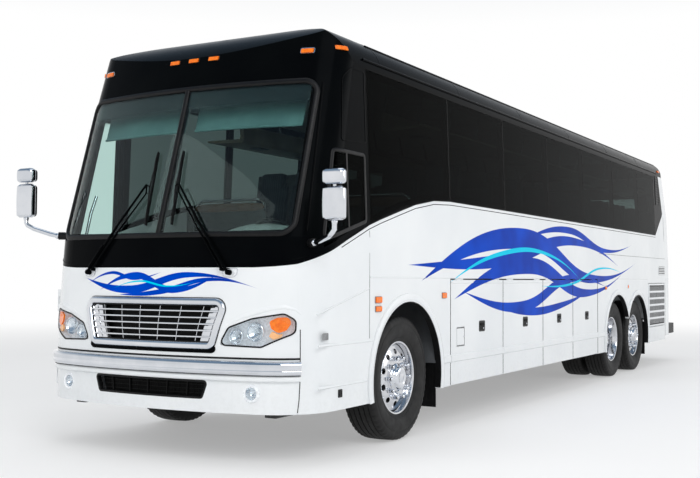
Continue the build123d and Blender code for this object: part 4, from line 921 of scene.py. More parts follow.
shells, arms, pads, mirror_faces = Shape(), Shape(), Shape(), Shape()
for side, (base, elbow, lower, upper) in MIRRORS.items():
    x = side * MIRROR_X
    for low, high in (lower, upper):
        shells.rings(mirror_shell(x, MIRROR_Y - .004, low + .002, high - .002))
        pads.slab(oblong(x - .080, x + .080, low + .012, high - .012, .028), upright(MIRROR_Y + .036), .006)
        mirror_faces.slab(oblong(x - .072, x + .072, low + .020, high - .020, .022), upright(MIRROR_Y + .042), .003)
    foot = Vector((side * 1.268, st(.343), base))
    knee = Vector((x, MIRROR_Y, elbow))
    sag = Vector((0, 0, -.006))
    arms.tube([foot, foot.lerp(knee, .25) + sag, foot.lerp(knee, .75) + sag, knee + Vector((-side * .018, 0, .002)),
               knee + Vector((0, 0, .022)), Vector((x, MIRROR_Y, lower[0] + .01))],
              (.019, .020, .019, .019, .018, .018), 16)
    arms.tube([(x, MIRROR_Y, lower[1] - .01), (x, MIRROR_Y, upper[0] + .01)], .012, 14)
    arms.lathe(capped((-.010, .020), (.008, .024), (.014, .020)), (x, MIRROR_Y, lower[0] - .012), UP, 24)
    arms.lathe(capped((-.014, .022), (-.004, .026), (.010, .020)), foot + Vector((side * .004, -.006, 0)),
               knee - foot, 24)
    root = Vector((side * 1.200, st(.385), base))
    pads.tube([root, root.lerp(foot, .5), foot], (.030, .029, .024), 20)
    for k in range(4):
        pads.lathe([(-.004, .026), (-.004, .0325), (.004, .0325), (.004, .026)], root.lerp(foot, .35 + .17 * k),
                   foot - root, 22)
shells.make("mirror_heads", chrome, smooth=45, stands_for="mirrors")
arms.make("mirror_arms", chrome, smooth=50)
pads.make("mirror_brackets", trim, smooth=45)
mirror_faces.make("mirror_faces", silver)

# ------------------------------------------------------------------ wipers
PIVOT_Z = 1.392
BLADE_STEPS = 12
blades, rods, cups = Shape(), Shape(), Shape()
# x of the blade, its foot and top, x of the pivot, and the side that it sways to
for x, foot, top, px, sway in ((-.140, 1.750, 2.336, -.680, 1), (.115, 1.750, 2.330, .680, -1)):
    edge = [nose(x - .030 * (t - .5), foot + (top - foot) * t, .0085) for t in spread(0, 1, BLADE_STEPS)]
    out = [(nose(x, p.z, .1) - nose(x, p.z)).normalized() for p in edge]
    blades.sweep(edge, out, even((.0018, -.006), (.0035, .006), (.006, .012), (.006, .017)))
    # claws of the blade's frame
    for a, b, lift in ((0, 4, .024), (8, 12, .024), (2, 10, .036)):
        middle = edge[(a + b) // 2] + out[(a + b) // 2] * lift
        blades.tube([edge[a] + out[a] * .015, edge[a].lerp(middle, .5) + out[a] * .012, middle,
                     edge[b].lerp(middle, .5) + out[b] * .012, edge[b] + out[b] * .015],
                    (.0035, .0045, .006, .0045, .0035), 8)
    centre = edge[6] + out[6] * .040
    pivot = nose(px, PIVOT_Z, .034)
    second = nose(px + .055 * sway, PIVOT_Z + .022, .030)
    arm_end = centre + Vector((-.030 * sway, 0, .02))
    bend = pivot.lerp(arm_end, .55) + Vector((0, -.014, 0))
    rods.tube([pivot, pivot.lerp(bend, .4), bend, arm_end, centre], (.0125, .0115, .0095, .0080, .0070), 12)
    link_end = centre + Vector((-.034 * sway, 0, -.050))
    rods.tube([second, second.lerp(link_end, .5) + Vector((0, -.010, 0)), link_end], (.0075, .0065, .0060), 10)
    rods.tube([arm_end, link_end, edge[5] + out[5] * .030], (.0065, .0065, .0050), 8)
    # tension spring along the arm's first third
    rods.tube([pivot.lerp(bend, .10) + Vector((0, -.014, .004)), pivot.lerp(bend, .55) + Vector((0, -.016, .004))],
              .0085, 12)
    for p, r in ((pivot, .020), (second, .013)):
        rods.lathe(capped((-.030, r), (.004, r), (.009, r * .8), (.011, r * .4)), p, (0, -1, .12), 26)
    # D-shaped bright cup round the spindles
    cup = densify(rounded([(px - .062, PIVOT_Z + .030), (px + .062, PIVOT_Z + .030), (px + .058, PIVOT_Z - .030),
                           (px - .058, PIVOT_Z - .030)], (.010, .010, .030, .030), 6), .02)
    cups.strip(nose, cup, hat(.0045, .003, -.001, .005), True)
    plate(nose, cup, 0, .0015, "wiper_dish_" + ("right" if px < 0 else "left"), glowing_bezel)
blades.make("wiper_blades", rubber, smooth=40)
rods.make("wiper_arms", black_gloss, smooth=50, stands_for="wipers")
cups.make("wiper_cups", chrome, smooth=50)

# marker lamps on the brow
for k, x in enumerate((-1.000, -.195, 0, .195, 1.000)):
    seal(nose, centred(x, 3.095, .104, .040, .010), hat(.0045, .003, -.004, .0065), f"brow_lamp_base_{k}",
         chrome if abs(x) > .5 else trim, step=.02)

# ------------------------------------------------------------------ driver's window and the panel over it
left_cheek, right_cheek = cheek(1), cheek(-1)
seal(left_cheek, rounded([(.470, 1.640), (1.075, 1.800), (1.075, 2.320), (.640, 2.320)], .03, 6),
     [(-.016, -.004), (-.014, .005), (-.004, .0085), (.006, .0075), (.014, .004), (.016, -.004)],
     "driver_window_frame", step=.04)
Shape().strip(left_cheek, [(.800, 1.735), (.795, 2.0), (.790, 2.315)], hat(.011, .009, -.004, .006)).make(
    "driver_window_post", trim)
seal(left_cheek, rounded([(.735, 2.40), (1.105, 2.42), (1.105, 2.985), (.90, 2.985), (.80, 2.90)],
                         (.02, .02, .02, .10, .10), 6), FINE, "cab_side_panel", black_gloss, smooth=60, step=.04)
# upright crease of the pillar behind the windscreen corner
for side_name, side in SIDES:
    Shape().strip(cheek(side), [(.36 + .30 * t, 1.70 + 1.14 * t) for t in spread(0, 1, 14)],
                  bead(.010, .006, -.002, .003, .0045)).make(f"pillar_crease_{side_name}", black_gloss, smooth=60)

# ------------------------------------------------------------------ entrance door trim
DOOR = "entrance_door"
seal(right_cheek, rounded([(.440, 1.345), (.560, 1.600), (.840, 2.740), (1.035, 2.740), (1.035, 1.345)], .03, 6),
     bead(.014, .012, -.004, .005, .008), "door_glass_frame", body=DOOR)
Shape().strip(right_cheek, [(.53, 1.60), (1.03, 1.60)], hat(.012, .010, -.006, .004)).make(
    "door_glass_rail", trim, DOOR)
seal(right_cheek, [(.348, .392), (.348, 1.300), (.470, 1.560), (.818, 2.838), (1.088, 2.838), (1.088, .392)],
     hat(.003, .003, -.02, .0012), "door_edge_seal", body=DOOR, smooth=30, step=.06, closed=False)
Shape().tube([right_cheek(.93, 1.02, -.002), right_cheek(.93, 1.02, .034), right_cheek(.93, 1.28, .034),
              right_cheek(.93, 1.28, -.002)], .0085, 14).make("door_pull", chrome, DOOR, smooth=50)
turned([(0, AXIS_R), (.004, AXIS_R), (.004, .014), (.002, .018), (0, .018)], right_cheek(.93, .93), (-1, 0, 0), 26,
       "door_lock", chrome, DOOR)

# ------------------------------------------------------------------ flanks
BAYS = (2.680, 4.000, 5.240, 6.350, 7.420)                      # stations of the baggage doors' edges
LATCHES, LATCH_Z = (3.433, 4.662, 5.817, 6.931), .895           # middles of the doors' latches
PANES = (2.701, 4.100, 5.499, 6.898, 8.297, 9.696)              # seams between the panes
BELT, WINDOW_TOP = 2.070, 3.015
CREASE = 1.364               # clear of the baggage doors, which turn round an axis at 1.350
ROLL_Z, SKIRT = .618, .385
DOOR_FOOT, DOOR_TOP = .386, 1.342
REAR_SEAM = 11.33            # station where the rear cap starts
ARCHES = ((1.815, .640), (8.420, .620), (9.520, .605))          # station and radius
HUB = .522
ARCH_BAND = .036             # from an arch's edge to the middle of its lip
RADIATOR = (10.206, 11.278, .624, 1.286)             # its door's stations and heights
SLAT_GROUPS, GROUP_SLATS, BAR_HALF, FRAME = 6, 4, .019, .02
# Lenses of the side markers: station, height, width, height
MARKERS = ((1.2725, 1.1845, .098, .046), (2.535, 1.204, .082, .046), (7.805, 1.2375, .066, .036),
           (1.2725, 1.112, .092, .040))

SOFT = bead(.007, .005, -.001, .0035, .0052)
WIDE = [(-.011, -.001), (-.007, .004), (0, .0065), (.005, .005), (.010, -.001)]
ROLL = [(-.030, -.001), (-.026, .006), (-.015, .0105), (0, .012), (.014, .0105), (.024, .007), (.029, -.001)]
THIN = hat(.0035, .003, -.001, .0016)
EDGE = hat(.004, .004, -.002, .002)


def straight(y0, y1, z):
    """A level path between two stations."""
    return [(y0, z), (y1, z)]


for side_name, side in SIDES:
    place, outwards = wall(side), (side, 0, 0)
    crease = Shape().strip(place, densify(straight(1.14, BAYS[-1] + .004, CREASE), .4, False), SOFT)
    if side > 0:
        crease.strip(place, densify([(.34, 1.092), (.70, 1.176), (1.12, 1.276)], .08, False), SOFT)
        crease.strips(place, [densify(straight(.36, end, z), .08, False) for z, end in ((.865, 1.185), (.560, 1.095))],
                      WIDE)
        Shape().strip(place, [(1.13, 1.73), (1.13, 1.3), (1.13, .885)], THIN).make("front_panel_seam", louvre_grey)
    crease.strips(place, [straight(2.535, 2.672, ROLL_Z), straight(7.432, 7.760, ROLL_Z)], ROLL)
    crease.strips(place, [straight(7.424, 10.15, CREASE), straight(REAR_SEAM, 11.60, CREASE)], SOFT)
    crease.make(f"flank_moulding_{side_name}", white_flank, smooth=60)
    front = .62 if side > 0 else 1.125
    belt = [(y, z) for y, z in BELT_LINE if y >= front] + [(y, BELT - .003) for y in (4, 6, 8, 10, 10.745)]
    seal(place, [(y, z - .034) for y, z in belt], THIN, f"belt_shadow_{side_name}", black_gloss, smooth=30, step=.25,
         closed=False)
    Shape().strips(place, [densify(belt, .2, False), [(10.745, 2.067), (11.0, 2.240), (11.25, 2.406)]], EDGE).make(
        f"belt_edge_{side_name}", black_gloss)

    # rubber between and round the flush panes
    seams = Shape().strips(place, [[(y, BELT + .001), (y, 2.5), (y, WINDOW_TOP)] for y in PANES],
                           even((.0075, -.006), (.0075, .0004), (.003, .0016)))
    loop = [(PANES[0], BELT - .003), (10.741, BELT - .003), (10.741, WINDOW_TOP + .004), (1.135, WINDOW_TOP + .004),
            (1.135, 1.783), (1.40, 1.858), (1.68, 1.924), (1.97, 1.992), (2.35, 2.052)]
    seams.strip(place, densify(loop, .12), hat(.005, .005, -.006, .0008), True)
    seams.make(f"pane_seams_{side_name}", black_gloss)
    # highlight line of the gutter over the windows
    pts = [Vector((side * 1.2405, st(y), 3.088)) for y in (1.10, 3, 5, 7, 9, 11.06)]
    Shape().sweep(pts, [Vector((side, 0, .12)).normalized()] * len(pts), bead(.009, .007, -.004, .005, .009)).make(
        f"gutter_{side_name}", black_gloss, smooth=60)

    # wheel-arch lips: a rounded face on the raised band and a rubber bead inside
    for k, (y0, radius) in enumerate(ARCHES):
        start = atan2(SKIRT - HUB, sqrt(radius ** 2 - (HUB - SKIRT) ** 2))
        span = spread(start, pi - start, 40)
        for part, out, gap, profile, finish, smooth in (
                ("bead", 0, .004, [(-.006, -.045), (-.006, .012), (.004, .013), (.006, .009), (.006, -.045)],
                 rubber, 50),
                ("lip", ARCH_BAND, .03, even((.031, .012), (.026, .0165), (.010, .0195)), white_plain, 60)):
            r = radius + out
            if k:                            # the rear arches meet
                y2, r2 = ARCHES[3 - k]
                span = [a for a in span if hypot(y0 + r * cos(a) - y2, r * sin(a)) > r2 + gap]
            Shape().strip(place, [(y0 + r * cos(a), HUB + r * sin(a)) for a in span], profile).make(
                f"arch_{part}_{k}_{side_name}", finish, smooth=smooth)

    # baggage doors: pressed crease, latch with its recess, keeper lock
    for bay, handle in enumerate(LATCHES):
        y0, y1 = BAYS[bay] + .004, BAYS[bay + 1] - .004
        body, tag = f"baggage_door_{side_name}_{bay + 1}", f"{side_name}_{bay}"
        plate(place, centred(handle, LATCH_Z, .150, .106, .018), .0002, .0022, f"latch_plate_{tag}", trim, body)
        plate(place, centred(handle, LATCH_Z, .116, .074, .012, 4), .0022, .0009, f"latch_cup_{tag}", mesh_black, body)
        Shape().strip(place, straight(handle - .050, handle + .050, LATCH_Z + .017),
                      [(-.011, .003), (-.009, .0075), (.007, .0085), (.011, .003)]).make(
            f"latch_grip_{tag}", black_gloss, body)
        turned([(.0, AXIS_R), (.0034, AXIS_R), (.0034, .008), (.0022, .0095), (.0, .0095)],
               place(handle + .034, LATCH_Z - .021, .003), outwards, 20, f"latch_lock_{tag}", chrome, body, 30)
        edge = Shape()
        for y, low, high in ((y0 + .001, -.001, .002), (y1 - .001, -.002, .001)):
            edge.strip(place, [(y, DOOR_FOOT), (y, DOOR_TOP)], [(low, -.03), (low, .0006), (high, .0006), (high, -.03)])
        edge.make(f"door_seal_{tag}", rubber, body)
        rub = Shape().strip(place, straight(y0 + .012, y1 - .012, 1.318), SOFT)
        rub.strip(place, straight(y0 + .012, y1 - .012, ROLL_Z), ROLL)
        rub.make(f"door_crease_{tag}", white_flank, body, smooth=60)

    # side markers: grey base and ribbed amber lens
    for k, (y, z, w, h) in enumerate(MARKERS):
        plate(place, centred(y, z, w + .012, h + .010, .007, 4), 0, .004, f"marker_base_{k}_{side_name}", louvre_grey)
        plate(place, centred(y, z, w, h, .008, 4), .004, .0095, f"marker_lens_{k}_{side_name}", amber)
    at = place(8.981, 1.252)
    turned([(0, AXIS_R), (.008, AXIS_R), (.007, .022), (.003, .028), (0, .028)], at, outwards, 28,
           f"round_marker_{side_name}", amber)
    turned([(0, .027), (.004, .028), (.004, .033), (0, .034)], at, outwards, 28, f"round_marker_rim_{side_name}",
           chrome)

    # radiator door: white bars with grey louvres between them
    y0, y1, z0, z1 = RADIATOR
    body = f"radiator_door_{side_name}"
    plate(place, [(y0 + FRAME, z0 + FRAME), (y1 - FRAME, z0 + FRAME), (y1 - FRAME, z1 - FRAME),
                  (y0 + FRAME, z1 - FRAME)], .0004, .0012, f"radiator_well_{side_name}", mesh_black, body)
    pitch = (z1 - z0 - 2 * FRAME) / SLAT_GROUPS
    slats = [z0 + FRAME + pitch * g + BAR_HALF + (k + .5) * (pitch - 2 * BAR_HALF) / GROUP_SLATS
             for g in range(SLAT_GROUPS) for k in range(GROUP_SLATS)]
    Shape().strips(place, [straight(y0 + .024, y1 - .024, z) for z in slats],
                   [(-.0065, .0018), (-.003, .0034), (.0045, .0076), (.0065, .0064), (-.002, .0020)]).make(
        f"radiator_slats_{side_name}", louvre_grey, body)
    bars = Shape().strips(place, [straight(y0 + .016, y1 - .016, z0 + FRAME + pitch * g)
                                  for g in range(1, SLAT_GROUPS)], even((.018, .0), (.017, .009), (.012, .0125)))
    bars.strip(place, densify(oblong(y0 + .012, y1 - .012, z0 + .012, z1 - .012, .02, 4), .1),
               even((.012, 0), (.011, .010), (.007, .013)), True)
    bars.make(f"radiator_bars_{side_name}", white_plain, body, smooth=50)

    # black louvres behind the last window and the small vent below the belt
    louvre = Shape().strips(place, [straight(10.862, 11.056, 2.592 + .0405 * k) for k in range(11)],
                            [(-.014, -.001), (-.010, .0025), (.006, .0085), (.011, .0070), (.012, -.001)])
    louvre.strip(place, densify(rounded([(10.845, 2.562), (11.075, 2.562), (11.070, 3.030), (10.845, 3.030)], .02, 5),
                                .1), SOFT, True)
    louvre.make(f"rear_louvres_{side_name}", black_gloss, smooth=40)
    vent = Shape().strips(place, [straight(10.90, 11.29, 1.445 + k * .027) for k in range(5)],
                          [(-.009, -.001), (-.004, .003), (.007, .0075), (.009, .006), (.009, -.001)])
    vent.strip(place, densify(oblong(10.875, 11.315, 1.425, 1.575, .02), .1), SOFT, True)
    vent.make(f"rear_vent_{side_name}", white_plain, smooth=50)
    plate(place, [(10.885, 1.435), (11.305, 1.435), (11.305, 1.565), (10.885, 1.565)], .0002, .0008,
          f"rear_vent_back_{side_name}", mesh_black)
    rear = Shape().strips(place, [[(7.424, 1.35), (7.424, .388)], [(10.19, .61), (10.19, .388)],
                                  [(REAR_SEAM, z) for z in (.44, 1.2, 2.06, 2.38)]], THIN)
    rear.strip(place, straight(7.50, REAR_SEAM, 1.696), hat(.0025, .002, -.001, .001))
    rear.make(f"panel_seams_{side_name}", rubber)

# filler flap's edge and lock, the marker ahead of the wheel and the socket below it
left_wall = wall(1)
seal(left_wall, oblong(2.824, 3.000, .735, .895, .006, 3), hat(.0022, .002, -.004, .0008), "filler_flap_edge",
     body="filler_flap", smooth=30)
turned([(0, AXIS_R), (.0035, AXIS_R), (.0035, .009), (.002, .011), (0, .011)], left_wall(2.985, .815), (1, 0, 0), 24,
       "filler_flap_lock", chrome, "filler_flap")
plate(left_wall, oblong(.42, .50, .905, .955, .006, 3), 0, .0025, "step_marker_left", louvre_grey)
socket = Shape().slab(oblong(.645, .705, .470, .530, .006, 3), left_wall, .004)
socket.lathe([(.004, .010), (.008, .014), (.009, .019), (.004, .021)], left_wall(.675, .500), (1, 0, 0), 24)
socket.make("flank_socket", trim)

# ------------------------------------------------------------------ wheels
TYRE_R, TYRE_W = .522, .298
TYRE_X = 1.245 - TYRE_W / 2
DUAL_X = TYRE_X - .345
DISH_X = (TYRE_X + DUAL_X) / 2
AXLES = {"front": 1.787, "drive": 8.385, "tag": 9.566}
# Outer half of a tyre: side wall, shoulder and first rib. The lugs are notched into LUGS, its points from 11 to 14
TYRE_SIDE = [(.112, .306), (.121, .318), (.126, .332), (.134, .350), (.1425, .378), (.1468, .404), (.149, .424),
             (.1478, .444), (.1452, .462), (.1462, .466), (.1432, .482), (.1370, .500), (.1290, .5115),
             (.1235, .5150), (.1060, .5172), (.1010, .5176)]
LUGS = range(11, 15)
LUG_DEPTH, TYRE_SIDES, WAVES = .0075, 168, 56
GROOVES = ((.095, .089), (.050, .044), (.004, -.004), (-.044, -.050), (-.089, -.095))
GROOVE_DEPTH = .013
SIDE_RINGS = ((.338, .0016, .1295), (.452, .0014, .1470))       # radius, half width, distance from the middle
BARREL = [(.115, .3045), (.1125, .3060), (.1085, .3050), (.1070, .300), (.1050, .2950), (.060, .2925), (.020, .276),
          (-.040, .276), (-.080, .2925), (-.105, .2950), (-.108, .3050), (-.1125, .3060), (-.115, .3045),
          (-.113, .2900), (-.070, .2840), (-.035, .268), (.020, .268), (.055, .2835), (.100, .2860), (.1125, .2920)]
DISC = [(.066, .276), (.072, .268), (.0745, .256), (.0775, .244), (.0850, .230), (.0905, .216), (.0945, .202),
        (.0985, .186), (.1000, .176), (.1005, .160), (.1005, .118), (.1040, .112), (.1040, .070), (.085, .070),
        (.085, .118), (.085, .176), (.080, .190), (.074, .208), (.066, .226), (.060, .244), (.056, .268),
        (.056, .276)]
DISH = [(.125, .276), (.060, .272), (.028, .262), (.0145, .244), (.0085, .226), (.0075, .118), (-.0075, .118),
        (-.0085, .230), (-.004, .262), (.030, .284), (.125, .284)]
HUB_CAP = capped((.095, .116), (.106, .121), (.116, .116), (.122, .102), (.132, .097), (.147, .093), (.153, .086),
                 (.156, .070), (.1565, .056), (.1535, .052), (.1535, .030), (.1555, .026))
DRIVE_HUB = capped((.005, .118), (.060, .1175), (.070, .110), (.180, .104), (.196, .112), (.212, .112), (.218, .106),
                   (.218, .062), (.228, .058), (.232, .050))
DRUM = capped((.062, .205), (.070, .212), (.160, .212), (.166, .205))


def round_axle(profile, x, y, side, sides, into=None):
    """Turns a profile round the axle, with its first numbers outward."""
    return (into or Shape()).lathe([(side * a, r) for a, r in profile], (x, y, TYRE_R), (1, 0, 0), sides)


def carve(shape, cutter, name):
    """The shape with the cutter's solids taken out."""
    pair = [new_object(f"{name}_{key}", source.verts, source.faces)
            for key, source in (("body", shape), ("tool", cutter))]
    cut = pair[0].modifiers.new("cut", "BOOLEAN")
    cut.operation = "DIFFERENCE"
    cut.object = pair[1]
    cut.solver = "EXACT"
    bpy.context.view_layer.update()
    result = bpy.data.meshes.new_from_object(pair[0].evaluated_get(bpy.context.evaluated_depsgraph_get()))
    out = Shape().add([v.co.copy() for v in result.vertices], [list(p.vertices) for p in result.polygons])
    for obj in pair:
        bpy.data.objects.remove(obj)
    bpy.data.meshes.remove(result)
    return out


def tyre(x, y, side, into=None):
    """One tyre: ribs and grooves turned round the axle, lugs on the shoulders, raised rings on the side walls."""
    ribs = []
    for a, b in GROOVES:
        crown = TYRE_R - .0195 * (a / (TYRE_W / 2)) ** 2 * .35
        low = TYRE_R - GROOVE_DEPTH
        ribs += [(a + .0012, crown), (a - .0005, low), (b + .0005, low), (b - .0012, crown)]
    profile = TYRE_SIDE + ribs + [(-a, r) for a, r in reversed(TYRE_SIDE)] + [(-.112, .296), (0, .294), (.112, .296)]
    waved = range(len(TYRE_SIDE), len(TYRE_SIDE) + len(ribs))
    last = waved.stop + len(TYRE_SIDE) - 1
    notched = {*LUGS, *(last - k for k in LUGS)}
    rings = []
    for k, t in enumerate(turns(TYRE_SIDES)):
        ring = []
        for i, (a, r) in enumerate(profile):
            r -= LUG_DEPTH if i in notched and k % 3 == 0 else 0
            sway = .0016 * sin(t * WAVES) if i in waved else 0
            ring.append(Vector((x + side * (a + sway), y + r * cos(t), TYRE_R + r * sin(t))))
        rings.append(ring)
    shape = (into or Shape()).rings(rings, closed=True)
    for r, w, face in SIDE_RINGS:
        for s in (1, -1):
            round_axle([(face - .002, r - w), (face + .0012, r), (face - .002, r + w)], x, y, s, 96, shape)
    return shape


def nuts(x, y, side, out, length, radius=.0175, count=10, pitch=.1675):
    """Tall nut covers on the stud circle, from a face at out."""
    shape = Shape()
    profile = capped((0, radius + .005), (.003, radius + .006), (.006, radius + .001), (length - .008, radius),
                     (length - .002, radius * .8), (length, radius * .45))
    for t in turns(count):
        shape.lathe(profile, (x + side * out, y + pitch * cos(t), TYRE_R + pitch * sin(t)), (side, 0, 0), 18)
    return shape


def hand_holes(x, y, side, low, high, pitch, squash=1.0, radius=.0270, count=10):
    """Cutters for the holes round a wheel disc."""
    cutter = Shape()
    for t in turns(count):
        t += pi / count
        radial, around = Vector((0, cos(t), sin(t))), Vector((0, -sin(t), cos(t)))
        at = Vector((x, y, TYRE_R)) + radial * pitch
        cutter.rings([[at + Vector((side * s, 0, 0)) + radial * (radius * squash * cos(a)) + around * (radius * sin(a))
                       for a in turns(28)] for s in (low, high)])
    return cutter


for side_name, side in SIDES:
    for axle in ("front", "tag"):
        y, x = st(AXLES[axle]), TYRE_X * side
        body = f"{axle}_wheel_{side_name}"
        tyre(x, y, side).make(f"{axle}_tyre_dressed_{side_name}", tyre_rubber, body, 28, f"{axle}_tyre_{side_name}")
        rim = carve(round_axle(DISC, x, y, side, 120), hand_holes(x, y, side, .02, .16, .2185, .82),
                    f"{axle}_{side_name}")
        round_axle(BARREL, x, y, side, 96, rim)
        rim.make(f"{axle}_rim_dressed_{side_name}", polished, body, 38, f"{axle}_rim_{side_name}")
        nuts(x, y, side, .100, .054).make(f"{axle}_nuts_{side_name}", chrome, body, smooth=45)
        round_axle(HUB_CAP, x, y, side, 72).make(f"{axle}_hub_cap_{side_name}", chrome, body, smooth=45)
        Shape().tube([(x + side * .075, y + .232, TYRE_R + .05), (x + side * .118, y + .206, TYRE_R + .045)],
                     .004, 8).make(f"{axle}_valve_{side_name}", chrome, body)

    y, body = st(AXLES["drive"]), f"drive_wheels_{side_name}"
    outer, inner, middle = TYRE_X * side, DUAL_X * side, DISH_X * side
    tyre(inner, y, side, tyre(outer, y, side)).make(f"drive_tyres_dressed_{side_name}", tyre_rubber, body, 28,
                                                    f"drive_tyres_{side_name}")
    rim = carve(round_axle(DISH, middle, y, side, 120), hand_holes(middle, y, side, -.06, .06, .207),
                f"drive_{side_name}")
    for x in (outer, inner):
        round_axle(BARREL, x, y, side, 96, rim)
    rim.make(f"drive_rims_dressed_{side_name}", polished, body, 38, f"drive_rims_{side_name}")
    nuts(middle, y, side, .0075, .050).make(f"drive_nuts_{side_name}", chrome, body, smooth=45)
    round_axle(DRIVE_HUB, middle, y, side, 72).make(f"drive_hub_{side_name}", polished, body, smooth=45)
    nuts(middle, y, side, .217, .014, .008, 8, .088).make(f"drive_hub_bolts_{side_name}", chrome, body, smooth=45)
    # brake drums that show behind the wheels
    for axle, x, carrier in (("front", TYRE_X - .235, "wheel"), ("drive", DUAL_X - .20, "wheels"),
                             ("tag", TYRE_X - .235, "wheel")):
        round_axle(DRUM, x * side, st(AXLES[axle]), side, 48).make(
            f"{axle}_drum_{side_name}", iron, f"{axle}_{carrier}_{side_name}", smooth=50)

# ------------------------------------------------------------------ rear end
ENGINE = "engine_door"
RIDGE = bead(.009, .007, -.002, .004, .006)
seal(stern, rounded([(-.760, 2.250), (.760, 2.250), (.700, 2.760), (-.700, 2.760)], .060, 8),
     [(-.022, -.004), (-.019, .008), (-.006, .013), (.008, .011), (.019, .006), (.022, -.004)],
     "rear_window_gasket", step=.06)
seal(stern, rounded([(-.835, 2.185), (.835, 2.185), (.775, 2.830), (-.775, 2.830)], .09, 8),
     hat(.004, .003, -.001, .0025), "rear_panel_bead", black_gloss, smooth=30, step=.08)

# engine door: surround groove, louvres, creases, latches, blank plate and its lamps
seal(stern, oblong(-.838, .838, .652, 1.744, .012, 3), hat(.0035, .003, -.02, .001), "engine_door_seal", body=ENGINE,
     smooth=30, step=.06)
Shape().rings([[stern(x, z, .0022) for z in spread(1.21, 1.59, 8)] + [stern(x, z, -.002) for z in spread(1.59, 1.21, 8)]
               for x in spread(-.650, .650, 24)]).make("engine_louvre_back", mesh_black, ENGINE)
Shape().strips(stern, [[(x, 1.222 + k * .0297) for x in spread(-.640, .640, 18)] for k in range(13)],
               [(-.011, .001), (-.006, .0055), (.007, .0125), (.011, .0105), (-.002, .0022)]).make(
    "engine_louvres", black_gloss, ENGINE, smooth=40)
bars = Shape().strip(stern, densify(oblong(-.66, .66, 1.20, 1.60, .03), .05), bead(.014, .011, -.001, .009, .0135),
                     True)
bars.strips(stern, [[(x, 1.205), (x, 1.40), (x, 1.595)] for x in (-.22, .22)], hat(.010, .008, -.001, .012))
bars.make("engine_louvre_frame", white_plain, ENGINE, smooth=60)
swage = Shape().strips(stern, [[(x, z) for x in spread(-.74, .74, 18)] for z in (1.140, .700)], RIDGE)
swage.strip(stern, densify(oblong(-.235, .235, .795, 1.005, .02), .04), RIDGE, True)
swage.make("engine_door_creases", white_plain, ENGINE, smooth=60)
BLANK = oblong(-.150, .150, .825, .975, .012)
plate(stern, densify(BLANK, .04), .004, .002, "blank_plate", louvre_grey, ENGINE)
seal(stern, BLANK, hat(.005, .004, .001, .0085), "plate_holder", chrome, ENGINE, step=.03)
studs = Shape()
for x in (-.089, .089):
    for z in (.8395, .9605):
        studs.lathe([(0, AXIS_R), (0, .0075), (.003, .007), (.005, .004), (.0052, AXIS_R)], stern(x, z, .006), BACK, 18)
studs.make("plate_studs", chrome, ENGINE, smooth=50)
for side_name, side in SIDES:
    x, y = side * .12, stern(side * .12, 1.0).y
    Shape().block((x - .035, y - .002, .992), (x + .035, y + .022, 1.010)).make(f"plate_lamp_{side_name}", trim, ENGINE)
    x = side * .62
    pull = Shape().slab(densify(centred(x, .750, .14, .07, .015, 4), .03), stern, .0018, .0004)
    pull.strip(stern, [(x - .05, .760), (x + .05, .760)], hat(.012, .008, .002, .012))
    pull.make(f"engine_door_latch_{side_name}", trim, ENGINE)

# tail lamps: stacked cells in a dark housing
for side_name, side in SIDES:
    outline = densify(rounded([(side * .962, .883), (side * 1.262, .883), (side * 1.262, 1.497), (side * .962, 1.497)],
                              .03, 5), .03)
    housing = Shape().slab(outline, stern, .012, -.020)
    housing.strip(stern, outline, [(-.006, -.020), (-.006, .003), (.003, .006), (.006, .004), (.006, -.020)], True)
    housing.make(f"tail_housing_{side_name}", trim, smooth=50, stands_for="tail_lamps" if side > 0 else None)
    for k, (low, high, lens) in enumerate(((.900, 1.036, glowing_bezel), (1.050, 1.186, amber), (1.200, 1.336, red),
                                           (1.350, 1.482, red))):
        outline = rounded([(side * .980, low), (side * 1.245, low), (side * 1.245, high), (side * .980, high)], .022, 5)
        cell = Shape().slab(densify(outline, .025), stern, .013, -.008)
        levels = spread(low + .016, high - .016, 8)
        cell.strips(stern, [[(side * x, z) for x in spread(.990, 1.235, 6)] for z in levels],
                    even((.0028, .004), (0, .0068)))
        cell.make(f"tail_cell_{k}_{side_name}", lens)


# bumper strips, reflectors, stop lamp, tail pipe, creases
def bumper(x, z, off=0.0):
    """The rear bumper's face, which stands behind the tail."""
    return tail(x, z) + BACK * (.2005 + off)


Shape().strips(bumper, [[(x, z) for x in spread(-1.12, 1.12, 30)] for z in (.500, .585)],
               hat(.009, .007, -.004, .0035)).make("rear_bumper_strips", trim, smooth=50)
for side_name, side in SIDES:
    turned([(0, AXIS_R), (0, .038), (.006, .040), (.010, .036), (.011, AXIS_R)], bumper(side * .86, .543, -.002), BACK,
           36, f"rear_reflector_{side_name}", red)
stop = densify(oblong(-.33, .33, 2.955, 2.995, .015, 4), .03)
plate(stern, stop, -.001, .010, "high_stop_lamp", red)
Shape().strip(stern, stop, hat(.005, .004, -.002, .006), True).make("high_stop_rim", trim)
Shape().tube([(-.78, st(11.10), .47), (-.80, st(11.40), .47), (-.80, st(11.78), .45), (-.80, st(11.90), .43)], .055,
             28).make("tail_pipe", polished, smooth=60)
silencer = Shape().block((-.95, st(10.45), .46), (-.45, st(11.10), .62), .05)
for k in range(5):
    silencer.block((-.955, st(10.50 + .13 * k), .455), (-.445, st(10.53 + .13 * k), .625), .006)
silencer.make("silencer", iron, smooth=60)
CORNER_SEAM = ((.900, .45), (.905, .64), (.905, 1.2), (.905, 1.78), (.86, 2.05), (.86, 2.14))
creases = Shape().strips(stern, [on_side(CORNER_SEAM, side) for side in (-1, 1)], hat(.003, .002, -.001, .001))
creases.strip(stern, [(x, 1.815) for x in spread(-1.20, 1.20, 20)], RIDGE)
creases.make("rear_cap_creases", white_plain, smooth=60)
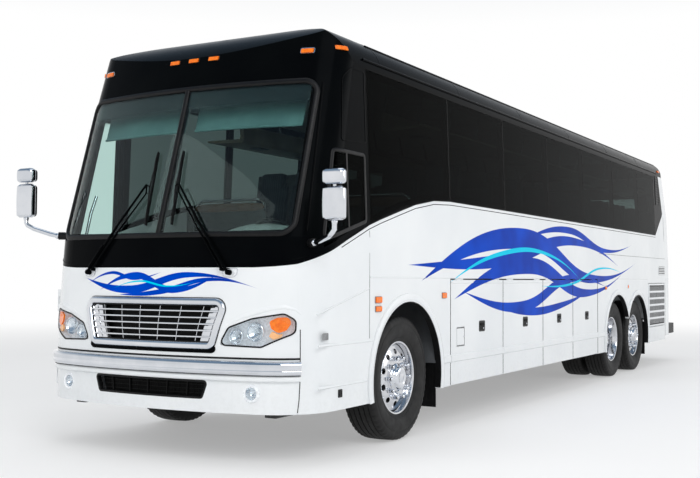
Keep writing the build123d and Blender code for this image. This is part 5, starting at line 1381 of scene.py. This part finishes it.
bumps = Shape()
for side in (-1, 1):
    for k in range(3):
        x = side * (.30 + .19 * k)
        bumps.block((x - .03, st(12.150), .476), (x + .03, st(12.1585), .612), .003)
bumps.make("rear_bumper_pads", rubber)

# ------------------------------------------------------------------ roof
ROOF_TOP, ROOF_BEND, ROOF_FLAT = 3.400, 5.311, 1.0   # crown's height and radius, half width that it covers
EAVES = (.9375, 3.0037, .3077)                       # x, height and radius of the bend at the side


def roof(x, y, off=0.0):
    """Point on the roof's plain length at x and a station, moved out by off."""
    side = 1 if x >= 0 else -1
    if abs(x) <= ROOF_FLAT:
        n = Vector((x / ROOF_BEND, 0, sqrt(1 - (x / ROOF_BEND) ** 2)))
        return Vector((x, st(y), ROOF_TOP - ROOF_BEND + sqrt(ROOF_BEND ** 2 - x * x))) + n * off
    cx, cz, r = EAVES
    t = min((abs(x) - cx) / r, 1.0)
    return Vector((side * cx, st(y), cz)) + Vector((side * t, 0, sqrt(1 - t * t))) * (r + off)


Shape().strips(roof, [[(1.235 * sin(t), y) for t in spread(-pi / 2, pi / 2, 40)]
                      for y in (1.42, 3.05, 4.75, 6.45, 8.15, 9.85, 11.325)],
               hat(.012, .010, -.002, .0018)).make("roof_joints", black_gloss)
rails = Shape()
for side in (-1, 1):
    for x, size in ((1.120, .010), (.985, .006)):
        rails.strip(roof, [(side * x, y) for y in (1.35, 4, 7, 10, 11.30)],
                    bead(size * 1.4, size, -.003, size * .7, size))
rails.make("roof_rails", black_gloss, smooth=60)
HATCH, LID_TOP = .325, 3.4385                        # half the width of a hatch lid, height of its shoulder
for name, y in (("front", 3.300), ("rear", 8.700)):
    body = f"roof_hatch_{name}"
    outline = centred(0, y, 2 * HATCH, 2 * HATCH, .06, 8)
    lid = Shape().rings([[Vector((a * (1 + grow / HATCH), st(y + (b - y) * (1 + grow / HATCH)), z)) for a, b in outline]
                         for grow, z in ((-.004, 3.4135), (.0, 3.416), (.0, 3.432), (-.010, LID_TOP),
                                         (-.028, LID_TOP + .002))])
    for k in range(-2, 3):
        lid.tube([(k * .10, st(y - .25), LID_TOP), (k * .10, st(y + .25), LID_TOP)], .0032, 8)
    lid.make(f"hatch_lid_{name}", black_gloss, body, smooth=50)
    ring = [Vector((a, st(b), 3.4125)) for a, b in centred(0, y, .636, .636, .05, 6)]
    Shape().sweep(ring, [UP] * len(ring), [(-.006, -.0035), (.006, -.0035), (.006, .0005), (-.006, .0005)],
                  True).make(f"hatch_seal_{name}", rubber)
    Shape().block((-.06, st(y + .27), LID_TOP), (.06, st(y + .30), LID_TOP + .003), .0014).make(
        f"hatch_latch_{name}", trim, body)

# ------------------------------------------------------------------ mud flaps and the lamps behind the tag wheels
FLAP_FOOT, FLAP_TOP = .205, .755
for side_name, side in SIDES:
    x0, x1 = sorted((side * .952, side * 1.248))
    for axle, y in (("front", 2.4655), ("rear", 10.135)):
        rings = []
        for k in range(13):
            z, wave = FLAP_FOOT + (FLAP_TOP - FLAP_FOOT) * k / 12, .0012 * sin(k * 1.3)
            rings.append([Vector((a, st(y + b) + wave, z))
                          for a, b in ((x0, -.004), (x1, -.004), (x1, .004), (x0, .004))])
        flap = Shape().rings(rings)
        for k in range(5):
            x = x0 + (x1 - x0) * (k + .5) / 5
            flap.block((x - .004, st(y - .0055), FLAP_FOOT + .06), (x + .004, st(y + .0055), FLAP_TOP - .16), .001)
        flap.make(f"{axle}_mud_flap_{side_name}", rubber,
                  stands_for="mud_flaps" if side > 0 and axle == "front" else None)
        clamp = Shape().block((x0 + .01, st(y - .007), FLAP_TOP - .055),
                              (x1 - .01, st(y + .007), FLAP_TOP - .020), .003)
        for k in range(4):
            clamp.lathe([(0, AXIS_R), (0, .009), (.004, .008), (.005, AXIS_R)],
                        (x0 + (x1 - x0) * (k + .5) / 4, st(y - .007), FLAP_TOP - .038), (0, -1, 0), 12)
        clamp.make(f"{axle}_flap_clamp_{side_name}", polished)
    outwards = Vector((side, 0, 0))
    Shape().sweep([Vector((side * 1.262, st(10.158), z)) for z in (.400, .60)], [outwards] * 2,
                  hat(.012, .010, -.003, .004)).make(f"flap_edge_{side_name}", polished)
    turned([(0, AXIS_R), (.003, .014), (.008, .013), (.012, .009), (.013, AXIS_R)], (side * 1.264, st(10.158), .56),
           outwards, 24, f"flap_lamp_{side_name}", red)

# ------------------------------------------------------------------ inside: seats
n = Nodes("seat_cloth")
stripe = n.math("SINE", n.math("MULTIPLY", n.xyz()[0], 260.0))
weave = n.noise(420, 2, .6)
ground = n.clouds(srgb(44, 52, 60), srgb(58, 66, 74), 7, low=.35, high=.65)
ground = n.mix(n.range(stripe, .55, .95, 0, .35), ground, srgb(92, 100, 106))
seat_cloth = n.done(n.principled(ground, .85, 0, n.bump(weave, .0006)))
blind_cloth = plain("blind_cloth", (98, 130, 131), (78, 108, 110), .7, .1, 3, 0, 240, .0004)
leather_brown = plain("brown_leather", (112, 78, 56), (82, 56, 40), .5, .12, 9, 0, 90, .0006)
leather_dark = plain("dark_leather", (36, 44, 47), (25, 31, 34), .5, .12, 9, 0, 90, .0006)
shell_grey = plain("seat_shell", (74, 77, 80), (52, 55, 58), .45, .1, 10, 0, 300, .0002)
lining = plain("ceiling_lining", (176, 174, 168), (150, 148, 142), .8, .1, 4, 0, 160, .0005)
DECK, PLATFORM = 1.330, .900                 # heights of the saloon's floor and the driver's
CAB_HALF = 1.295
SEAT_ROWS, SEAT_FIRST, SEAT_PITCH = 10, 2.600, .870


def pad(width, depth, thick, crown, pinch, channels=0, cuts=14):
    """A crowned closed pad in local x, y, z, whose sides pull in between its corners."""
    bm = bmesh.new()
    bmesh.ops.create_cube(bm, size=2)
    bmesh.ops.subdivide_edges(bm, edges=bm.edges[:], cuts=cuts, use_grid_fill=True)
    for v in bm.verts:
        u, w = v.co.xy
        # the block's edges are rounded
        x, y, z = v.co / max((abs(u) ** 5 + abs(w) ** 5 + abs(v.co.z) ** 3.2) ** .2, 1e-6)
        x, y = max(-1, min(1, x)), max(-1, min(1, y))
        lift = crown * (1 - x * x) * (1 - y * y)
        if channels and z > .3:
            lift -= .006 * max(0, cos(y * pi * channels)) ** 12 * (1 - x ** 8)
        v.co = (x * (width / 2 - pinch * (1 - w * w)), y * (depth / 2 - pinch * (1 - u * u)),
                z * thick / 2 + (lift if z > 0 else -lift * .25))
    return Shape().bmesh(bm)


def soft(shape, at, tilt, name, material=seat_cloth, stands_for=None):
    """A pad in its place, tilted back."""
    placed = shape.moved(Matrix.Translation(at) @ Matrix.Rotation(radians(tilt), 4, "X"))
    placed.make(name, material, smooth=80, stands_for=stands_for)


# What a passenger seat's pads are: name, pad, its middle behind the row's station and over the deck, tilt
PADS = (("cushion", pad(.405, .470, .125, .022, .007, 3), .240, .385, 4),
        ("back", pad(.405, .640, .090, .018, .006, 4), .505, .730, 80),
        ("head", pad(.300, .190, .075, .014, .005, 0, 10), .545, 1.045, 80))
SHELL = ((.435, .40), (.560, 1.11), (.585, 1.12), (.600, 1.10), (.545, .70), (.480, .33), (.455, .32))
shells, legs, grips = Shape(), Shape(), Shape()
for row in range(SEAT_ROWS):
    y = SEAT_FIRST + SEAT_PITCH * row
    for side_name, side in SIDES:
        for place, x in (("aisle", .540), ("window", .968)):
            tag = f"{side_name}_{row}_{place}"
            for part, shape, behind, up, tilt in PADS:
                soft(shape, (side * x, st(y + behind), DECK + up), tilt, f"seat_{part}_{tag}",
                     stands_for="seats" if (part, tag) == ("cushion", "left_0_aisle") else None)
        x0, x1 = sorted((side * .335, side * 1.175))
        shells.rings([[Vector((x, st(y + a), DECK + b)) for a, b in SHELL] for x in (x0, x0 + .4 * (x1 - x0), x1)])
        shells.block((x0 + .01, st(y + .02), DECK + .300), (x1 - .01, st(y + .46), DECK + .330), .010)
        for x in (x0 + .26, x1 - .26):
            legs.block((x - .03, st(y + .10), DECK), (x + .03, st(y + .40), DECK + .302), .008)
        for x in (x0 + .004, (x0 + x1) / 2 - .014, x1 - .032):
            legs.block((x, st(y + .10), DECK + .545), (x + .028, st(y + .46), DECK + .575), .010)
            legs.block((x + .006, st(y + .42), DECK + .46), (x + .022, st(y + .47), DECK + .56), .004)
        grips.tube([(side * a, st(y + b), DECK + c) for a, b, c in
                    ((.42, .600, 1.075), (.42, .625, 1.125), (.50, .625, 1.125), (.50, .600, 1.075))], .009, 10)
shells.make("seat_shells", shell_grey, smooth=40)
legs.make("seat_legs", trim, smooth=40)
grips.make("seat_grips", trim, smooth=50)

# driver's seat
SEAT_X = .72
soft(pad(.480, .460, .120, .020, .008, 2), (SEAT_X, st(1.02), PLATFORM + .455), 3, "driver_cushion")
soft(pad(.480, .600, .100, .020, .008, 3), (SEAT_X, st(1.285), PLATFORM + .810), 80, "driver_back")
soft(pad(.290, .170, .080, .014, .006, 0, 10), (SEAT_X, st(1.330), PLATFORM + 1.175), 80, "driver_head")
base = Shape().block((.60, st(.90), PLATFORM), (.84, st(1.12), PLATFORM + .18), .015)
base.block((.56, st(.86), PLATFORM + .30), (.88, st(1.20), PLATFORM + .395), .02)
for k in range(5):
    base.block((.585 + .004 * (k % 2), st(.885), PLATFORM + .18 + .024 * k),
               (.855 - .004 * (k % 2), st(1.145), PLATFORM + .200 + .024 * k), .008)
base.make("driver_base", trim, smooth=40)

# ------------------------------------------------------------------ inside: cab
DASH = ((.300, 1.135), (.300, 1.500), (.312, 1.548), (.350, 1.578), (.420, 1.596), (.500, 1.600), (.556, 1.592),
        (.584, 1.566), (.594, 1.520), (.560, 1.470), (.524, 1.440), (.500, 1.300), (.482, 1.135))
rings = []
for k, x in enumerate(spread(-.560, 1.230, 32)):
    bow = .215 * (x / CAB_HALF) ** 2
    drop = .08 * abs(k / 16 - 1) ** 6
    rings.append([Vector((x, st(a + (bow if a < .45 else bow * .4)), b - drop * (b > 1.45))) for a, b in DASH])
Shape().rings(rings).make("dashboard", dash, smooth=60, stands_for="cab_fittings")
rings = []
for t in spread(0, 1, 24):
    x = .10 + 1.11 * t
    rise = .185 * max(0, sin(pi * t)) ** .6
    bow = .06 * (x / CAB_HALF) ** 2
    rings.append([Vector((x, st(a), b)) for a, b in (
        (.54, 1.555), (.60, 1.560), (.630, 1.565 + rise * .7), (.600, 1.592 + rise), (.50, 1.594 + rise * .80),
        (.40 + bow, 1.588 + rise * .25), (.36 + bow, 1.570))])
Shape().rings(rings).make("instrument_hood", dash, smooth=60)
dials = Shape()
for k, (r, z) in enumerate(((.030, 1.592), (.044, 1.602), (.044, 1.602), (.030, 1.592))):
    dials.lathe([(0, AXIS_R), (0, r), (.006, r + .004), (.010, r), (.004, r - .004), (.003, AXIS_R)],
                (.575 + .098 * k, st(.612), z), (0, 1, .35), 36)
dials.make("instrument_dials", trim, smooth=50)
wheel_plane = Matrix.Translation((SEAT_X, st(.72) + .008, 1.648)) @ Matrix.Rotation(-atan2(1, 1.1), 4, "X")


def on_wheel(radius, angle, lift=0.0):
    return wheel_plane @ Vector((radius * cos(angle), radius * sin(angle), lift))


wheel = Shape().tube([on_wheel(.220, a) for a in turns(48)], .0145, 12, closed=True)
for a in (radians(-20), radians(200), radians(90)):
    wheel.tube([on_wheel(.045, a, -.010), on_wheel(.13, a, -.008), on_wheel(.215, a)], (.016, .012, .011), 10)
wheel.lathe(capped((-.030, .050), (.0, .062), (.010, .058), (.014, .030)), on_wheel(0, 0, -.006),
            wheel_plane.to_3x3() @ UP, 36)
wheel.make("steering_wheel", trim, smooth=50)
column = Shape().tube([on_wheel(0, 0, -.02), (SEAT_X, st(.60), 1.50), (SEAT_X, st(.50), 1.40)], (.032, .036, .040), 20)
column.tube([(.70, st(.66), 1.585), (.60, st(.67), 1.60)], (.007, .010), 8)
column.make("steering_column", trim, smooth=50)

# roller blinds behind the top of the windscreen
BLIND_ROWS = (2.820, 2.70, 2.565, 2.550)
blinds = Shape()
for x0, x1 in ((-1.02, -.05), (.06, 1.03)):
    rings = []
    for x in spread(x0, x1, 20):
        face = [nose(x, z, -.115) for z in BLIND_ROWS]
        rings.append(face + [p + BACK * .008 for p in reversed(face)])
    blinds.rings(rings)
    blinds.tube([nose(x, BLIND_ROWS[-1], -.115) for x in spread(x0, x1, 20)], .010, 8)
blinds.make("roller_blinds", blind_cloth, smooth=50)

# ------------------------------------------------------------------ inside: saloon
SHELF = ((.790, 2.690), (1.205, 2.712), (1.212, 2.730), (.812, 2.728), (.806, 2.760), (.812, 2.850), (.800, 2.872),
         (.782, 2.868), (.770, 2.840), (.768, 2.720), (.776, 2.700))
SHELF_ROWS = spread(2.30, 10.9, 12)
for side_name, side in SIDES:
    def across(stations, profile):
        """Rings of a profile of this side at some stations."""
        return [[Vector((side * a, st(y), b)) for a, b in profile] for y in stations]

    Shape().rings(across(SHELF_ROWS, SHELF)).make(f"rack_{side_name}", rack, smooth=50,
                                                  stands_for="luggage_racks" if side > 0 else None)
    glow = Shape()
    for row in range(SEAT_ROWS):
        y = 2.72 + SEAT_PITCH * row
        glow.block((side * .93 - .07, st(y), 2.684), (side * .93 + .07, st(y + .16), 2.696), .003)
    glow.make(f"reading_panels_{side_name}", shell_grey)
    hangers = Shape()
    for points in across(SHELF_ROWS, ((.800, 2.865), (.830, 3.06), (.86, 3.18))):
        hangers.tube(points, .010, 8)
    hangers.make(f"rack_hangers_{side_name}", polished, smooth=50)
    Shape().rings(across((2.02, 4.5, 7.0, 9.5, 11.15), ((1.244, 1.345), (1.238, 2.040), (1.232, 2.040),
                                                        (1.236, 1.345)))).make(
        f"side_lining_{side_name}", shell_grey, smooth=40)
    outline = rounded([(side * .34, 1.335), (side * 1.19, 1.335), (side * 1.19, 2.02), (side * .34, 2.02)],
                      (.01, .01, .06, .06), 6)
    plate(upright(st(2.07)), outline, 0, .028, f"modesty_panel_{side_name}", leather_dark, smooth=50)
    soft(pad(.82, .060, .075, .006, .002), (side * .765, st(2.085), 2.03), 0, f"modesty_cap_{side_name}", leather_brown)
    rail, = across((2.085,), ((.36, 1.34), (.36, 2.06), (.42, 2.10), (1.10, 2.10), (1.17, 2.06), (1.17, 1.96)))
    Shape().tube(rail, .014, 12).make(f"modesty_rail_{side_name}", polished, smooth=50)
ARC = [(-1.12, 3.02), (-1.0, 3.150), (-.80, 3.225), (-.4, 3.275), (0, 3.290), (.4, 3.275), (.80, 3.225), (1.0, 3.150),
       (1.12, 3.02)]
Shape().rings([[Vector((a, st(y), b)) for a, b in ARC + [(a, b + .010) for a, b in ARC[::-1]]]
               for y in (1.55, 3, 5, 7, 9, 10.95)]).make("ceiling", lining, smooth=50)
rails = Shape()
rails.tube([(-.66, st(.60), 1.00), (-.665, st(.62), 1.30), (-.67, st(.72), 1.46), (-.67, st(.98), 1.50)], .015, 12)
rails.tube([(-1.16, st(.52), 1.30), (-1.155, st(.53), 1.60), (-1.145, st(.60), 1.90), (-1.14, st(.66), 2.05)], .013, 12)
rails.make("entrance_rails", polished, smooth=50)
treads = Shape()
for x0, x1, z in ((-.932, -.648, .665), (-1.222, -.948, .430)):
    treads.block((x0, st(.37), z + .0002), (x1, st(1.09), z + .006), .002)
    for x in spread(x0 + .02, x1 - .02, 8):
        treads.block((x - .004, st(.39), z + .005), (x + .004, st(1.07), z + .009), .001)
treads.make("step_treads", trim)
aisle = Shape().block((-.28, st(1.98), 1.3302), (.28, st(10.95), 1.335), .002)
for x in spread(-.24, .24, 8):
    aisle.block((x - .006, st(2.0), 1.3345), (x + .006, st(10.9), 1.3375), .001)
aisle.make("aisle_runner", trim)

# ------------------------------------------------------------------ underfloor: engine, bay mats, under-body
engine = Shape().block((-.34, st(10.36), .70), (.34, st(11.30), 1.02), .03)
engine.block((-.30, st(10.40), 1.02), (.30, st(11.22), 1.14), .03)
for k in range(6):
    engine.block((-.19, st(10.44 + .13 * k), 1.13), (.19, st(10.53 + .13 * k), 1.205), .02)
for k in range(9):
    engine.block((-.352, st(10.40 + .10 * k), .74), (.352, st(10.425 + .10 * k), .98), .006)
for x, z, sides, profile in ((0, .80, 40, ((0, .11), (.02, .118), (.05, .118), (.07, .11))),
                             (-.20, .96, 32, ((0, .06), (.03, .064), (.05, .06))),
                             (.22, .93, 32, ((0, .05), (.03, .054), (.05, .05)))):
    engine.lathe(capped(*profile), (x, st(11.30), z), BACK, sides)
engine.make("engine_dressed", iron, smooth=45, stands_for="engine")
LOOP = [(-.255, .985), (-.20, 1.020), (-.13, 1.0), (.18, .985), (.23, .985), (.272, .94), (.25, .88), (.11, .76),
        (0, .682), (-.10, .74)]
Shape().sweep([Vector((a, st(11.33), b)) for a, b in LOOP],
              [Vector((a * .2, 0, b - .86)).normalized() for a, b in LOOP],
              [(-.012, -.003), (.012, -.003), (.012, .003), (-.012, .003)], True).make("engine_belt", rubber)
pipes = Shape()
pipes.tube([(.36, st(10.5), 1.08), (.42, st(10.7), 1.12), (.42, st(11.2), 1.12), (.34, st(11.32), 1.05)], .045, 16)
pipes.tube([(-.36, st(10.5), .98), (-.44, st(10.7), .94), (-.46, st(10.9), .80), (-.55, st(11.0), .66)], .050, 16)
pipes.make("engine_pipes", polished, smooth=60)
mats = Shape()
for a, b in zip((2.68, 4.012, 5.252, 6.362), (3.988, 5.228, 6.338, 7.42)):
    for k in range(int((b - a - .08) / .12)):
        y = a + .06 + k * .12
        mats.block((-1.20, st(y), .4202), (1.20, st(y + .03), .4245), .001)
mats.make("bay_floor_ribs", trim)
rods = Shape()
for side in (-1, 1):
    rods.tube([(side * .30, st(1.10), .50), (side * .30, st(2.4), .50), (side * .36, st(2.56), .56)], .02, 10)
rods.tube([(-.20, st(7.6), .56), (-.20, st(8.15), .54)], .06, 20)
rods.tube([(0, st(8.40), .522), (0, st(9.4), .58), (0, st(10.3), .76)], .045, 18)
rods.tube([(-.95, st(1.62), .45), (.95, st(1.62), .45)], .018, 12)
rods.make("under_rods", iron, smooth=60)
BELLOWS = capped((-.02, .085), (0, .10), (.03, .085), (.06, .10), (.09, .085), (.115, .09))
for side_name, side in SIDES:
    bags = Shape()
    for y in (1.487, 2.087, 8.085, 8.685, 9.866):
        bags.lathe(BELLOWS, (side * .56, st(y), .60), UP, 28)
    bags.make(f"air_springs_{side_name}", rubber, smooth=60)

# ------------------------------------------------------------------ floor, lamps and world
PALE = (1.0, 1.0, 1.0, 1)    # the backdrop, where 1 is white
FLOOR_HALF = 90
floor_mesh = bpy.data.meshes.new("floor")
floor_mesh.from_pydata([(a * FLOOR_HALF, b * FLOOR_HALF, 0) for a, b in ((-1, -1), (1, -1), (1, 1), (-1, 1))], [],
                       [(0, 1, 2, 3)])
floor = bpy.data.objects.new("floor", floor_mesh)
bpy.context.scene.collection.objects.link(floor)
n = Nodes("floor_pale")
spot = n.xyz()
far = n.distance(spot[0], spot[1])
near_paint = n.principled(n.clouds((.92, .92, .92, 1), (.95, .95, .95, 1), .4, 2), .7)
haze = n.new("ShaderNodeEmission", ((0, PALE),)).outputs[0]
seen = n.seen()
floor_mesh.materials.append(n.done(n.blend(n.math("MULTIPLY", n.range(far, 7.0, 22.0, .35, 1.0, True), seen),
                                           near_paint, haze)))

# what the camera and mirrors see is a ramp, and what lights the coach is even
world = bpy.data.worlds.new("studio")
bpy.context.scene.world = world
n = Nodes(world, "ShaderNodeOutputWorld", "Generated")
ramp = n.new("ShaderNodeValToRGB", ((0, n.xyz()[2]),))
for stop, at, colour in zip(ramp.color_ramp.elements, (.24, .62), (PALE, (.20, .29, .40, 1))):
    stop.position, stop.color = at, colour
backdrop = n.new("ShaderNodeBackground", ((0, ramp.outputs[0]),)).outputs[0]
light = n.new("ShaderNodeBackground", ((0, (.96, .98, 1, 1)), (1, .57))).outputs[0]
n.done(n.blend(n.seen(), light, backdrop))

# name, place, target, size, watts, whether mirrors show it
for name, at, target, size, watts, mirrored in (
        ("key_lamp", (11, -12, 10), (0, -1, 1.3), (9, 7), 860, True),
        ("front_lamp", (-6, -16, 7), (0, -5, 1.5), (8, 6), 350, False),
        ("top_lamp", (0, 0, 14), (0, 0, 0), (8, 16), 420, True),
        ("side_lamp", (14, 6, 6), (1, 2, 1.3), (8, 5), 330, True)):
    lamp = bpy.data.lights.new(name, "AREA")
    lamp.shape = "RECTANGLE"
    lamp.size, lamp.size_y = size
    lamp.energy = watts
    obj = bpy.data.objects.new(name, lamp)
    obj.location = at
    obj.rotation_euler = (Vector(target) - Vector(at)).to_track_quat("-Z", "Y").to_euler()
    obj.visible_glossy = mirrored
    bpy.context.scene.collection.objects.link(obj)

bpy.context.scene.view_settings.view_transform = "Standard"
bpy.context.view_layer.update()
